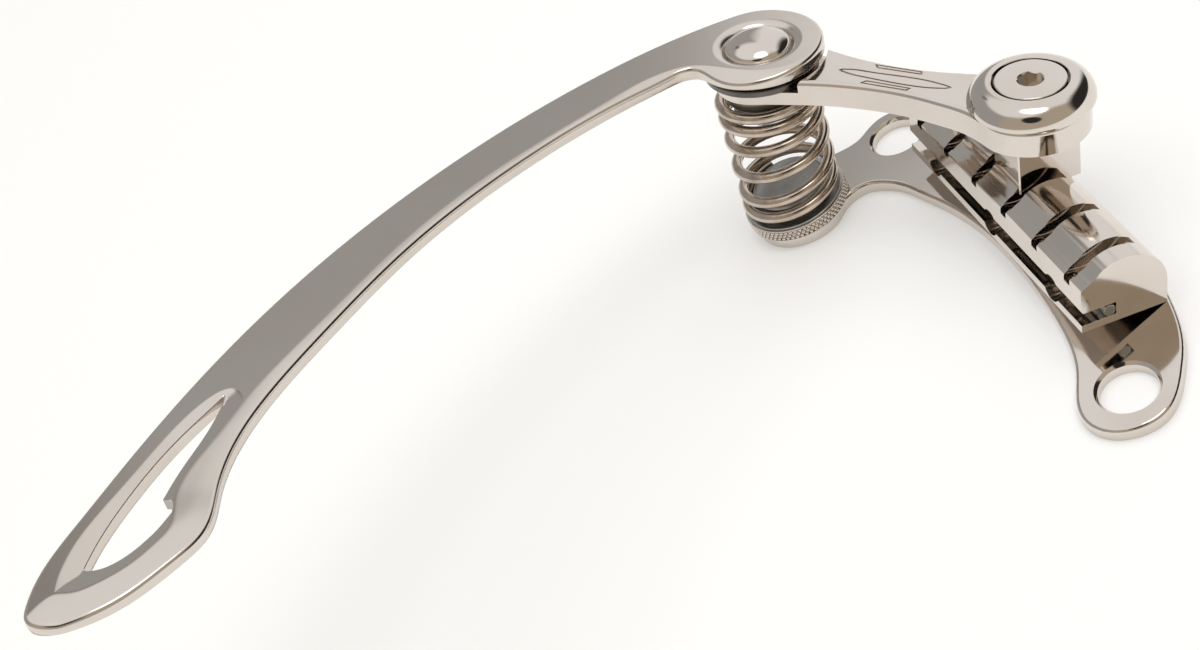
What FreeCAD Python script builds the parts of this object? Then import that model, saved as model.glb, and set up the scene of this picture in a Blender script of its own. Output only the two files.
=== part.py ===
import FreeCAD, Part
import math
import os

# Vibrato tailpiece, millimetres. The origin is midway between the two stud holes, on the
# underside of the base plate. +Z is up, +X points to the tail, -X to the bridge.
# The string bar, the lever and the arm are drawn level, as they stand at the end of a dive,
# and are then turned up about the knife edge to the angle that they have at rest.

# Whole assembly
rest_tilt_deg = 15.1        # lever at rest, up from the end of a dive
overrun = 2.0               # how far every cut runs past the face that it opens
running_gap = 0.05          # between pieces that turn or slide on each other
fit_gap = 0.03              # between a fixed piece and its hole

# Base plate
plate_thickness = 2.3
plate_edge_round = 0.7
plate_front_x = 0.3         # bridge-side edge, at the middle
plate_tail_x = 17.2
stud_spacing = 82.5
stud_hole_radius = 4.8
stud_hole_round = 0.5
ear_radius = 8.6
foot_radius = 9.1
foot_x = -22.6
foot_y = 39.05
# places round the near ear, from its bridge side to its tail side: along X in ear radii
# from the stud, along Y in ear radii outward from the stud
ear_shares = ((-0.14, -2.40), (-0.31, -1.55), (-0.56, -0.92), (-0.95, -0.20), (-1.00, 0.15),
              (-0.88, 0.53), (-0.61, 0.80), (-0.23, 0.95), (0.17, 0.94), (0.57, 0.71),
              (0.97, 0.27), (1.28, -0.16), (1.52, -0.65), (1.72, -1.27), (1.88, -2.00))
# the same round the far ear, from its tail side to where it runs into the foot's stem
far_ear_shares = ((1.88, -2.00), (1.72, -1.27), (1.52, -0.65), (1.28, -0.16), (0.97, 0.27),
                  (0.57, 0.70), (0.16, 0.88), (-0.13, 0.87), (-0.41, 0.76), (-0.68, 0.63),
                  (-1.00, 0.60), (-1.35, 0.66), (-1.90, 0.73))
# the stem's inner edge, as shares of the foot's own place
stem_shares = ((0.556, 0.868), (0.460, 0.860), (0.346, 0.809), (0.254, 0.737), (0.188, 0.637),
               (0.131, 0.533), (0.066, 0.400))
foot_start_deg = 93.0       # where the far edge runs into the round foot
foot_end_deg = 318.0        # where the stem's inner edge leaves it
round_step_deg = 25.0       # between the points that draw a round end

# Knife edge and its bearing strip
knife_x = 13.95
knife_depth = 0.4           # how far the edge reaches below the plate's top
knife_flank = 0.45
knife_width = 2.2
knife_height = 1.6
groove_floor_gap = 0.02
groove_front = 0.75
groove_rear = 0.3
knife_length = 53.0
bearing_front = 1.5         # strip, ahead of the knife edge
bearing_rear = 0.7
bearing_length = 54.0
bearing_depth = 1.2

# Spring post and adjuster wheel
post_radius = 3.0
post_top = 5.2              # above the plate
post_flange_radius = 4.6
post_flange_height = 1.0
wheel_radius = 10.0
wheel_height = 2.5
wheel_lift = 0.25           # above the plate
wheel_groove_depth = 0.3
wheel_groove_height = 0.3
wheel_edge_chamfer = 0.15
seat_radius = 9.5
seat_flange = 0.4
seat_hub_radius = 7.1
seat_hub_height = 3.0       # above the flange
seat_hub_round = 0.5

# Spring
wire_radius = 1.05
coil_radius = 8.6           # to the middle of the wire
coil_turns = 6
coil_start_deg = 90.0       # both wire ends lie on the far side
coil_end_gap = 0.08         # between the wire and the faces that it bears on
coil_step_shares = (0.108, 0.208, 0.233, 0.208, 0.121, 0.122)
arcs_per_turn = 4
gap_samples_per_turn = 72

# String bar
bar_length = 60.8
bar_depth = 15.1
bar_height = 12.0
crown_radius = 7.5
crown_end_deg = 32.0        # from the top to where the sloping face starts
jaw_height = 8.4
slot_floor = 1.4
slot_height = 2.4
slot_depth = 6.06
nose_radius = 0.6
string_pitch = 10.4
string_count = 6
groove_width = 2.2
groove_cut_radius = 10.35
groove_cut_setback = 11.92  # cutter's axis, ahead of the bar's back
groove_cut_height = 17.07
string_hole_radius = 0.85
string_hole_setback = 12.9
notch_radius = 2.4
notch_depth = 3.4
notch_pitch = 20.8
notch_count = 3
rod_radius = 1.08
set_screw_radius = 1.0

# Pedestal and knob
post_setback = 6.23         # knob's axis, ahead of the bar's back
pedestal_length = 11.4
pedestal_width = 8.8
pedestal_foot = 9.5
pedestal_edge = 0.25
dowel_radius = 0.75
dowel_offset = 4.3
dowel_reach = 2.2
lever_bottom = 19.3
clamp_radius = 3.0
clamp_head_radius = 5.93
clamp_reach = 6.8           # bolt's tip, above the bar's underside
clamp_head_edge = 0.25
hex_across = 4.0
hex_depth = 2.2
lock_washer_radius = 5.6
lock_washer_height = 0.5
ring_foot_radius = 9.8
ring_widest_radius = 10.43
ring_widest_height = 0.8
ring_bore_radius = 6.3
ring_lip_radius = 6.75
ring_height = 4.1
ring_flange = 0.8
ring_shoulder_radius = 9.45
ring_shoulder_height = 2.95

# Lever
lever_span = 51.1
lever_direction_deg = 128.8
lever_thickness = 4.7
lever_eye_radius = 9.6
lever_end_radius = 8.6
lever_waist = 3.9           # half the width at the narrowest place
lever_edge_round = 0.9
lever_seat_radius = 12.2
lever_seat_depth = 2.2
# half width along the lever: shares of the span, shares of the waist
lever_side_shares = ((0.205, 1.44), (0.274, 1.26), (0.364, 1.08), (0.442, 1.00),
                     (0.528, 1.00), (0.607, 1.08), (0.705, 1.26), (0.800, 1.54))
lever_eye_leave_deg = 52.0
lever_end_leave_deg = 65.0
stripe_depth = 0.35
# engraved stripes: start and place across, end and half width, in shares of the span
stripe_shares = (((0.28, 0.0), (0.68, 0.020)), ((0.41, 0.048), (0.575, 0.011)),
                 ((0.41, -0.048), (0.575, 0.011)))

# Spring boss under the lever
boss_radius = 7.1
boss_height = 3.2
boss_edge = 0.5

# Arm and its pivot
arm_thickness = 2.6
arm_edge_round = 0.4
arm_eye_radius = 11.7
arm_reach = 158.8
arm_bore_radius = 5.0
head_recess_radius = 6.3
head_recess_depth = 1.2
pivot_radius = 3.5
pivot_head_radius = 5.9
pivot_head_rim = 1.4
pivot_head_dome = 0.8
pivot_end_gap = 0.4
lower_washer_radius = 10.3
lower_washer_height = 1.2
wave_washer_radius = 9.2
wave_washer_height = 1.1
wave_washer_cone = 0.25
nut_across = 11.0
nut_height = 3.0
nut_chamfer = 0.4
# blade and handle from the pivot, in shares of the arm's reach, outer edge first
blade_outer_shares = ((-0.094, 0.0655), (-0.189, 0.0435), (-0.378, -0.030), (-0.567, -0.145),
                      (-0.680, -0.2405), (-0.768, -0.3325), (-0.816, -0.387), (-0.856, -0.438),
                      (-0.8695, -0.470), (-0.8715, -0.488), (-0.857, -0.502), (-0.835, -0.507),
                      (-0.788, -0.5015), (-0.740, -0.4785), (-0.709, -0.456), (-0.689, -0.4075),
                      (-0.6515, -0.338), (-0.554, -0.239), (-0.441, -0.147), (-0.315, -0.0743),
                      (-0.189, -0.0258), (-0.106, -0.0047), (-0.089, -0.0032), (-0.078, -0.0078))
eye_inner_deg = 197.0       # where the blade's inner edge runs into the eye
eye_outer_deg = 457.0       # where its outer edge leaves the eye, once round
window_outer_shares = ((-0.663, -0.2835), (-0.7115, -0.3205), (-0.7695, -0.3805),
                       (-0.8035, -0.4265), (-0.8165, -0.4500))
window_end_shares = ((-0.8165, -0.4500), (-0.806, -0.4560), (-0.767, -0.4480),
                     (-0.733, -0.4205))
window_barb_shares = ((-0.7385, -0.3980), (-0.718, -0.3678), (-0.687, -0.3262),
                      (-0.663, -0.2835))

V = FreeCAD.Vector
up = V(0, 0, 1)
along_bar = V(0, 1, 0)
half_stud = stud_spacing / 2
knife_line = V(knife_x, 0, plate_thickness - knife_depth)
knob_x = knife_x - post_setback
lever_turn = math.radians(lever_direction_deg)
lever_way = V(math.cos(lever_turn), math.sin(lever_turn), 0)
lever_side = V(-math.sin(lever_turn), math.cos(lever_turn), 0)
knob_place = V(knob_x, 0, 0)
pivot_place = knob_place + lever_way * lever_span
lever_bottom_z = plate_thickness + lever_bottom
lever_top_z = lever_bottom_z + lever_thickness
arm_seat_z = lever_top_z - lever_seat_depth
wave_washer_z = arm_seat_z + lower_washer_height + running_gap
arm_bottom_z = wave_washer_z + wave_washer_height + running_gap
arm_top_z = arm_bottom_z + arm_thickness
wheel_top_z = plate_thickness + wheel_lift + wheel_height
seat_bottom_z = wheel_top_z + running_gap
seat_top_z = seat_bottom_z + seat_flange


def at_height(place, z):
    return V(place.x, place.y, z)


def turn_up(shape):
    """Turn a piece of the lever group from level to its place at rest."""
    turned = shape.copy()
    turned.rotate(knife_line, along_bar, rest_tilt_deg)
    return turned


def disc(radius, low_z, high_z, place):
    return Part.makeCylinder(radius, high_z - low_z, at_height(place, low_z))


def washer(outer, inner, low_z, high_z, place):
    return disc(outer, low_z, high_z, place).cut(disc(inner, low_z - overrun, high_z + overrun, place))


def curve(points):
    line = Part.BSplineCurve()
    line.interpolate(Points=points)
    return line.toShape()


def closed_curve(points):
    line = Part.BSplineCurve()
    line.interpolate(Points=points, PeriodicFlag=True)
    return line.toShape()


def arc(start, middle, end):
    return Part.Arc(start, middle, end).toShape()


def on_circle(centre, radius, angle_deg):
    angle = math.radians(angle_deg)
    return centre + V(radius * math.cos(angle), radius * math.sin(angle), 0)


def round_end(centre, radius, start_deg, end_deg):
    """Points along a round end, evenly spaced and anticlockwise."""
    steps = math.ceil((end_deg - start_deg) / round_step_deg)
    step = (end_deg - start_deg) / steps
    return [on_circle(centre, radius, start_deg + step * index) for index in range(steps + 1)]


def prism(edges, low_z, high_z):
    """An upright solid on an outline that is drawn at height zero."""
    face = Part.Face(Part.Wire(Part.__sortEdges__(edges)))
    solid = face.extrude(V(0, 0, high_z - low_z))
    solid.translate(V(0, 0, low_z))
    return solid


def rim_edges(solid, z):
    """The edges of a solid that lie flat at one height."""
    flat = running_gap / 10
    return [e for e in solid.Edges if abs(e.BoundBox.ZMin - z) < flat and abs(e.BoundBox.ZMax - z) < flat]


def spun(points, place):
    """A solid of revolution from (radius, height) corners about an upright axis."""
    corners = [V(place.x + radius, place.y, z) for radius, z in points]
    face = Part.Face(Part.makePolygon(corners + corners[:1]))
    return face.revolve(place, up, 360)


def hexagon(across, low_z, high_z, place):
    corner = across / math.sqrt(3)
    ring = [on_circle(place, corner, 60 * side) for side in range(7)]
    solid = Part.Face(Part.makePolygon(ring)).extrude(V(0, 0, high_z - low_z))
    solid.translate(V(0, 0, low_z))
    return solid


def plate_outline():
    near = [V(ear_radius * sx, -half_stud - ear_radius * sy, 0) for sx, sy in ear_shares]
    far = [V(ear_radius * sx, half_stud + ear_radius * sy, 0) for sx, sy in far_ear_shares]
    foot = V(foot_x, foot_y, 0)
    stem = [V(foot_x * sx, foot_y * sy, 0) for sx, sy in stem_shares]
    middle = [V(plate_front_x, 0, 0)]
    tail = [V(plate_tail_x, 0, 0)]
    foot_round = round_end(foot, foot_radius, foot_start_deg, foot_end_deg)
    return [closed_curve(foot_round + stem + middle + near + tail + far)]


def make_base_plate():
    plate = prism(plate_outline(), 0, plate_thickness)
    plate = plate.makeFillet(plate_edge_round, rim_edges(plate, plate_thickness))
    for side in (-1, 1):
        stud = V(0, side * half_stud, 0)
        plate = plate.cut(disc(stud_hole_radius, -overrun, plate_thickness + overrun, stud))
        flare = stud_hole_radius + stud_hole_round
        low = plate_thickness - stud_hole_round
        plate = plate.cut(Part.makeCone(stud_hole_radius, flare, stud_hole_round, at_height(stud, low)))
    foot = V(foot_x, foot_y, 0)
    plate = plate.cut(disc(post_radius + fit_gap, -overrun, plate_thickness + overrun, foot))
    plate = plate.cut(disc(post_flange_radius + fit_gap, -overrun, post_flange_height + fit_gap, foot))
    return plate.cut(bearing_block(fit_gap, overrun))


def make_spring_post():
    foot = V(foot_x, foot_y, 0)
    flange = disc(post_flange_radius, 0, post_flange_height, foot)
    return flange.fuse(disc(post_radius, 0, plate_thickness + post_top, foot)).removeSplitter()


def bearing_block(gap, above):
    """The strip's own block, or with a gap and a height above the plate, its pocket."""
    width = bearing_front + bearing_rear + 2 * gap
    corner = V(knife_x - bearing_front - gap, -bearing_length / 2 - gap, plate_thickness - bearing_depth)
    return Part.makeBox(width, bearing_length + 2 * gap, bearing_depth + above, corner)


def make_knife_bearing():
    floor_z = plate_thickness - knife_depth - groove_floor_gap
    rise = (plate_thickness + overrun - floor_z) / (plate_thickness - floor_z)
    start_y = -bearing_length / 2 - overrun
    corners = [V(knife_x, start_y, floor_z),
               V(knife_x - groove_front * rise, start_y, plate_thickness + overrun),
               V(knife_x + groove_rear * rise, start_y, plate_thickness + overrun)]
    face = Part.Face(Part.makePolygon(corners + corners[:1]))
    groove = face.extrude(V(0, bearing_length + 2 * overrun, 0))
    return bearing_block(0, 0).cut(groove)


def make_adjuster_wheel():
    low_z = plate_thickness + wheel_lift
    middle_z = (low_z + wheel_top_z) / 2
    inner = post_radius + running_gap
    chamfer = wheel_edge_chamfer
    half_groove = wheel_groove_height / 2
    profile = [(inner, low_z), (wheel_radius - chamfer, low_z), (wheel_radius, low_z + chamfer),
               (wheel_radius, middle_z - half_groove), (wheel_radius - wheel_groove_depth, middle_z),
               (wheel_radius, middle_z + half_groove), (wheel_radius, wheel_top_z - chamfer),
               (wheel_radius - chamfer, wheel_top_z), (inner, wheel_top_z)]
    return spun(profile, V(foot_x, foot_y, 0))


def make_spring_seat():
    foot = V(foot_x, foot_y, 0)
    hub_top_z = seat_top_z + seat_hub_height
    seat = disc(seat_radius, seat_bottom_z, seat_top_z, foot)
    seat = seat.fuse(disc(seat_hub_radius, seat_bottom_z, hub_top_z, foot)).removeSplitter()
    seat = seat.makeChamfer(seat_hub_round, rim_edges(seat, hub_top_z))
    well_top_z = plate_thickness + post_top + running_gap
    return seat.cut(disc(post_radius + running_gap, seat_bottom_z - overrun, well_top_z, foot))


def spring_ends():
    """Middle of the spring's first and last turn."""
    first = V(foot_x, foot_y, seat_top_z + wire_radius + coil_end_gap)
    rotation = FreeCAD.Rotation(along_bar, rest_tilt_deg)
    level = at_height(pivot_place, lever_bottom_z - wire_radius - coil_end_gap)
    last = knife_line + rotation.multVec(level - knife_line)
    return first, last


def spring_share(turn):
    """Share of the spring's height that is reached after so many turns, with no sudden steps."""
    whole = min(int(turn), coil_turns - 1)
    part = turn - whole
    steps = coil_step_shares
    before = steps[max(whole - 1, 0)]
    after = steps[min(whole + 1, coil_turns - 1)]
    slope_in = (before + steps[whole]) / 2
    slope_out = (steps[whole] + after) / 2
    blend = part * part * (3 - 2 * part)
    lean_in = part * (1 - part) * (1 - part)
    lean_out = -part * part * (1 - part)
    return sum(steps[:whole]) + steps[whole] * blend + slope_in * lean_in + slope_out * lean_out


def spring_point(turn):
    first, last = spring_ends()
    share = spring_share(turn)
    centre = first + (last - first) * share
    angle = math.radians(coil_start_deg) + 2 * math.pi * turn
    spoke = V(coil_radius * math.cos(angle), coil_radius * math.sin(angle), 0)
    tilt = FreeCAD.Rotation(along_bar, rest_tilt_deg * share)
    return centre + tilt.multVec(spoke)


def spring_way(turn):
    step = 1 / gap_samples_per_turn / 10
    way = spring_point(min(turn + step, coil_turns)) - spring_point(max(turn - step, 0))
    return way.normalize()


def tangent_arc(start, way, end):
    chord = end - start
    half = chord.Length / 2
    along = chord * (1 / chord.Length)
    side = way - along * way.dot(along)
    bend = math.atan2(side.Length, way.dot(along))
    middle = (start + end) * 0.5 + side.normalize() * (half * math.tan(bend / 2))
    return arc(start, middle, end)


def biarc(start, start_way, end, end_way):
    """Two arcs that join two points and keep the direction at each."""
    across = end - start
    ways = start_way + end_way
    spread = 2 * (1 - start_way.dot(end_way))
    pull = across.dot(ways)
    reach = (-pull + math.sqrt(pull * pull + spread * across.dot(across))) / spread
    joint = (start + start_way * reach + end - end_way * reach) * 0.5
    first = tangent_arc(start, start_way, joint)
    second = tangent_arc(end, end_way * -1, joint)
    return [first, second]


def report_spring_gap():
    count = coil_turns * gap_samples_per_turn
    points = [spring_point(index / gap_samples_per_turn) for index in range(count + 1)]
    apart = gap_samples_per_turn // 2
    pairs = ((here, there) for i, here in enumerate(points) for there in points[i + apart:])
    least = min((here - there).Length for here, there in pairs)
    print("spring: least gap to itself", round(least - 2 * wire_radius, 2), "mm")


def make_spring():
    edges = []
    for quarter in range(coil_turns * arcs_per_turn):
        a = quarter / arcs_per_turn
        b = (quarter + 1) / arcs_per_turn
        edges += biarc(spring_point(a), spring_way(a), spring_point(b), spring_way(b))
    path = Part.Wire(Part.__sortEdges__(edges))
    section = Part.Wire(Part.Circle(spring_point(0), spring_way(0), wire_radius).toShape())
    spring = path.makePipeShell([section], True, False)
    straight = math.pi * wire_radius * wire_radius * path.Length
    print("spring: volume over section times length", round(spring.Volume / straight, 4))
    report_spring_gap()
    return spring


def bar_profile():
    """The bar's end view, drawn at the middle of its length."""
    back = knife_x
    front = knife_x - bar_depth
    base_z = plate_thickness
    crown_x = back - crown_radius
    crown_z = base_z + bar_height - crown_radius

    def crown(angle_deg):
        angle = math.radians(angle_deg)
        return V(crown_x - crown_radius * math.sin(angle), 0, crown_z + crown_radius * math.cos(angle))

    slot_back = front + slot_depth
    slot_top_z = base_z + slot_floor + slot_height
    round_corner = nose_radius * (1 - math.sqrt(0.5))
    nose_side = V(front, 0, slot_top_z + nose_radius)
    nose_mid = V(front + round_corner, 0, slot_top_z + round_corner)
    nose_under = V(front + nose_radius, 0, slot_top_z)
    corners = [nose_under, V(slot_back, 0, slot_top_z), V(slot_back, 0, base_z + slot_floor),
               V(front, 0, base_z + slot_floor), V(front, 0, base_z), V(back, 0, base_z), crown(-90)]
    edges = [arc(crown(-90), crown(0), crown(crown_end_deg))]
    top = [crown(crown_end_deg), V(front, 0, base_z + jaw_height), nose_side]
    for chain in (corners, top):
        edges += [Part.LineSegment(a, b).toShape() for a, b in zip(chain, chain[1:])]
    edges.append(arc(nose_side, nose_mid, nose_under))
    return edges


def knife_block(gap):
    corner = V(knife_x - knife_width - gap, -knife_length / 2 - gap, plate_thickness)
    return Part.makeBox(knife_width + gap, knife_length + 2 * gap, knife_height + gap, corner)


def string_places():
    return [(index - (string_count - 1) / 2) * string_pitch for index in range(string_count)]


def pedestal_box(low_z):
    corner = V(knife_x - pedestal_length, -pedestal_width / 2, low_z)
    return Part.makeBox(pedestal_length, pedestal_width, lever_bottom_z - low_z, corner)


def clamp_hole(low_z, high_z):
    return disc(clamp_radius + fit_gap, low_z, high_z, knob_place)


def dowels(radius, low_z, high_z):
    places = [V(knob_x + side * dowel_offset, 0, 0) for side in (-1, 1)]
    return Part.makeCompound([disc(radius, low_z, high_z, place) for place in places])


dowel_low_z = plate_thickness + pedestal_foot - dowel_reach
dowel_high_z = lever_bottom_z + dowel_reach
clamp_low_z = plate_thickness + clamp_reach


def rod_line():
    slot_back = knife_x - bar_depth + slot_depth
    return V(slot_back - rod_radius - fit_gap, 0, plate_thickness + slot_floor + rod_radius)


def set_screw_places():
    middle = rod_line()
    return [V(middle.x, side * string_pitch, 0) for side in (-1, 1)]


def make_string_holder():
    face = Part.Face(Part.Wire(Part.__sortEdges__(bar_profile())))
    bar = face.extrude(V(0, bar_length, 0))
    bar.translate(V(0, -bar_length / 2, 0))
    front = knife_x - bar_depth
    cut_middle = V(knife_x - groove_cut_setback, 0, plate_thickness + groove_cut_height)
    slot_z = plate_thickness + slot_floor
    for y in string_places():
        start = cut_middle + V(0, y - groove_width / 2, 0)
        bar = bar.cut(Part.makeCylinder(groove_cut_radius, groove_width, start, along_bar))
        hole_place = V(knife_x - string_hole_setback, y, 0)
        bar = bar.cut(disc(string_hole_radius, slot_z, cut_middle.z, hole_place))
    for index in range(notch_count):
        y = (index - (notch_count - 1) / 2) * notch_pitch
        mouth = V(front - overrun, y, slot_z + slot_height / 2)
        bar = bar.cut(Part.makeCylinder(notch_radius, notch_depth + overrun, mouth, V(1, 0, 0)))
    for place in set_screw_places():
        bar = bar.cut(disc(set_screw_radius + fit_gap, plate_thickness - overrun, slot_z + fit_gap, place))
    bar = bar.cut(knife_block(fit_gap))
    bar = bar.cut(pedestal_box(plate_thickness + pedestal_foot))
    bar = bar.cut(clamp_hole(clamp_low_z - fit_gap, lever_bottom_z))
    return bar.cut(dowels(dowel_radius + fit_gap, dowel_low_z - fit_gap, lever_bottom_z))


def make_knife_insert():
    block = knife_block(0)
    corners = [knife_line, V(knife_x, 0, plate_thickness), V(knife_x - knife_flank, 0, plate_thickness)]
    edge = Part.Face(Part.makePolygon(corners + corners[:1])).extrude(V(0, knife_length, 0))
    edge.translate(V(0, -knife_length / 2, 0))
    return block.fuse(edge).removeSplitter()


def make_ball_end_rod():
    start = rod_line() + V(0, -bar_length / 2, 0)
    return Part.makeCylinder(rod_radius, bar_length, start, along_bar)


def make_rod_set_screws():
    top_z = plate_thickness + slot_floor - fit_gap
    screws = [disc(set_screw_radius, plate_thickness, top_z, place) for place in set_screw_places()]
    return Part.makeCompound(screws)


def make_pedestal_block():
    block = pedestal_box(plate_thickness + pedestal_foot)
    upright = [e for e in block.Edges if e.BoundBox.ZLength > pedestal_width / 2]
    block = block.makeChamfer(pedestal_edge, upright)
    block = block.cut(clamp_hole(plate_thickness, lever_top_z))
    return block.cut(dowels(dowel_radius + fit_gap, plate_thickness, lever_top_z))


def make_pedestal_dowels():
    return dowels(dowel_radius, dowel_low_z, dowel_high_z)


def lever_outline():
    """The lever's outline, anticlockwise from its eye along the near side and back."""
    def spot(along, across):
        return knob_place + lever_way * (lever_span * along) + lever_side * (lever_waist * across)

    turn = lever_direction_deg
    near = [spot(along, -across) for along, across in lever_side_shares]
    far = [spot(along, across) for along, across in reversed(lever_side_shares)]
    end_leave = 180 - lever_end_leave_deg
    end = round_end(pivot_place, lever_end_radius, turn - end_leave, turn + end_leave)
    eye_leave = lever_eye_leave_deg
    eye = round_end(knob_place, lever_eye_radius, turn + eye_leave, turn + 360 - eye_leave)
    return [closed_curve(near + end + far + eye)]


def make_stripe(middle, half_length, across, half_width):
    """A shallow lens-shaped cut along the lever's top."""
    def spot(along, side):
        return knob_place + lever_way * (lever_span * along) + lever_side * (lever_span * side)

    tips = [spot(middle - half_length, across), spot(middle + half_length, across)]
    upper = arc(tips[0], spot(middle, across + half_width), tips[1])
    lower = arc(tips[0], spot(middle, across - half_width), tips[1])
    return prism([upper, lower], lever_top_z - stripe_depth, lever_top_z + overrun)


def make_lever():
    lever = prism(lever_outline(), lever_bottom_z, lever_top_z)
    lever = lever.makeFillet(lever_edge_round, rim_edges(lever, lever_top_z))
    lever = lever.cut(disc(lever_seat_radius, arm_seat_z, lever_top_z + overrun, pivot_place))
    for (start, across), (end, half_width) in stripe_shares:
        lever = lever.cut(make_stripe((start + end) / 2, (end - start) / 2, across, half_width))
    lever = lever.cut(clamp_hole(lever_bottom_z - overrun, lever_top_z + overrun))
    lever = lever.cut(disc(pivot_radius + fit_gap, lever_bottom_z - overrun, lever_top_z, pivot_place))
    return lever.cut(dowels(dowel_radius + fit_gap, lever_bottom_z - overrun, dowel_high_z + fit_gap))


def make_spring_boss():
    low_z = lever_bottom_z - boss_height
    inner = pivot_radius + fit_gap
    profile = [(inner, low_z), (boss_radius - boss_edge, low_z), (boss_radius, low_z + boss_edge),
               (boss_radius, lever_bottom_z), (inner, lever_bottom_z)]
    return spun(profile, pivot_place)


def make_knob_ring():
    def spot(radius, height):
        return V(knob_x + radius, 0, lever_top_z + height)

    foot = spot(ring_foot_radius, 0)
    widest = spot(ring_widest_radius, ring_widest_height)
    turn_in = spot((ring_foot_radius + 3 * ring_widest_radius) / 4, ring_widest_height / 4)
    lip = spot(ring_lip_radius, ring_height)
    shoulder = spot(ring_shoulder_radius, ring_shoulder_height)
    bore = ring_bore_radius
    inner = clamp_radius + fit_gap
    corners = [lip, spot(bore, ring_height), spot(bore, ring_flange), spot(inner, ring_flange),
               spot(inner, 0), foot]
    edges = [arc(foot, turn_in, widest), arc(widest, shoulder, lip)]
    edges += [Part.LineSegment(a, b).toShape() for a, b in zip(corners, corners[1:])]
    face = Part.Face(Part.Wire(Part.__sortEdges__(edges)))
    return face.revolve(knob_place, up, 360)


ring_top_z = lever_top_z + ring_height
lock_washer_z = lever_top_z + ring_flange
clamp_head_z = lock_washer_z + lock_washer_height


def make_clamp_lock_washer():
    return washer(lock_washer_radius, clamp_radius + fit_gap, lock_washer_z, clamp_head_z, knob_place)


def make_clamp_bolt():
    edge = clamp_head_edge
    profile = [(0, clamp_low_z), (clamp_radius, clamp_low_z), (clamp_radius, clamp_head_z),
               (clamp_head_radius, clamp_head_z), (clamp_head_radius, ring_top_z - edge),
               (clamp_head_radius - edge, ring_top_z), (0, ring_top_z)]
    bolt = spun(profile, knob_place)
    return bolt.cut(hexagon(hex_across, ring_top_z - hex_depth, ring_top_z + overrun, knob_place))


def arm_spots(shares):
    return [pivot_place + V(arm_reach * sx, arm_reach * sy, 0) for sx, sy in shares]


def arm_outline():
    eye = round_end(pivot_place, arm_eye_radius, eye_inner_deg, eye_outer_deg)
    return [closed_curve(eye + arm_spots(blade_outer_shares))]


def window_outline():
    outer = arm_spots(window_outer_shares)
    end = arm_spots(window_end_shares)
    barb = arm_spots(window_barb_shares)
    return [curve(outer), curve(end), Part.LineSegment(end[-1], barb[0]).toShape(), curve(barb)]


def make_arm():
    arm = prism(arm_outline(), arm_bottom_z, arm_top_z)
    arm = arm.makeFillet(arm_edge_round, rim_edges(arm, arm_top_z))
    arm = arm.cut(prism(window_outline(), arm_bottom_z - overrun, arm_top_z + overrun))
    high_z = arm_top_z + overrun
    arm = arm.cut(disc(arm_bore_radius + fit_gap, arm_bottom_z - overrun, high_z, pivot_place))
    return arm.cut(disc(head_recess_radius, arm_top_z - head_recess_depth, high_z, pivot_place))


def make_arm_bushing():
    top_z = arm_top_z - head_recess_depth
    return washer(arm_bore_radius, pivot_radius + running_gap, arm_bottom_z, top_z, pivot_place)


pivot_head_z = arm_top_z - head_recess_depth + running_gap
nut_low_z = lever_bottom_z - boss_height - nut_height


def make_arm_pivot_bolt():
    """A screw whose domed head is part of a sphere."""
    rim_z = pivot_head_z + pivot_head_rim
    top_z = rim_z + pivot_head_dome
    tip_z = nut_low_z - pivot_end_gap
    ball_radius = (pivot_head_radius ** 2 + pivot_head_dome ** 2) / (2 * pivot_head_dome)
    dome = Part.makeSphere(ball_radius, at_height(pivot_place, top_z - ball_radius))
    head = disc(pivot_head_radius, pivot_head_z, top_z, pivot_place).common(dome)
    return head.fuse(disc(pivot_radius, tip_z, pivot_head_z, pivot_place)).removeSplitter()


def make_arm_lower_washer():
    top_z = arm_seat_z + lower_washer_height
    return washer(lower_washer_radius, pivot_radius + fit_gap, arm_seat_z, top_z, pivot_place)


def make_arm_wave_washer():
    top_z = wave_washer_z + wave_washer_height
    inner = pivot_radius + fit_gap
    profile = [(inner, wave_washer_z + wave_washer_cone), (wave_washer_radius, wave_washer_z),
               (wave_washer_radius, top_z - wave_washer_cone), (inner, top_z)]
    return spun(profile, pivot_place)


def make_arm_lock_nut():
    high_z = lever_bottom_z - boss_height
    corner = nut_across / math.sqrt(3)
    nut = hexagon(nut_across, nut_low_z, high_z, pivot_place)
    cap = [(0, nut_low_z), (corner - nut_chamfer, nut_low_z), (corner, nut_low_z + nut_chamfer),
           (corner, high_z), (0, high_z)]
    nut = nut.common(spun(cap, pivot_place))
    return nut.cut(disc(pivot_radius + fit_gap, nut_low_z - overrun, high_z + overrun, pivot_place))


fixed_pieces = {"base_plate": make_base_plate, "spring_post": make_spring_post,
                "knife_bearing": make_knife_bearing, "adjuster_wheel": make_adjuster_wheel,
                "spring_seat": make_spring_seat, "spring": make_spring}
tilting_pieces = {"string_holder": make_string_holder, "knife_insert": make_knife_insert,
                  "ball_end_rod": make_ball_end_rod, "rod_set_screws": make_rod_set_screws,
                  "pedestal_block": make_pedestal_block, "pedestal_dowels": make_pedestal_dowels,
                  "lever": make_lever, "spring_boss": make_spring_boss, "knob_ring": make_knob_ring,
                  "clamp_bolt": make_clamp_bolt, "clamp_lock_washer": make_clamp_lock_washer,
                  "arm": make_arm, "arm_bushing": make_arm_bushing,
                  "arm_pivot_bolt": make_arm_pivot_bolt, "arm_lower_washer": make_arm_lower_washer,
                  "arm_wave_washer": make_arm_wave_washer, "arm_lock_nut": make_arm_lock_nut}


def save(name, shape):
    box = shape.BoundBox
    shape.exportStep("parts/" + name + ".step")
    state = "valid" if shape.isValid() else "NOT VALID"
    low = [round(v, 2) for v in (box.XMin, box.YMin, box.ZMin)]
    high = [round(v, 2) for v in (box.XMax, box.YMax, box.ZMax)]
    print(name, state, len(shape.Solids), "solids", round(shape.Volume, 1), "mm3", low, high)


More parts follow.
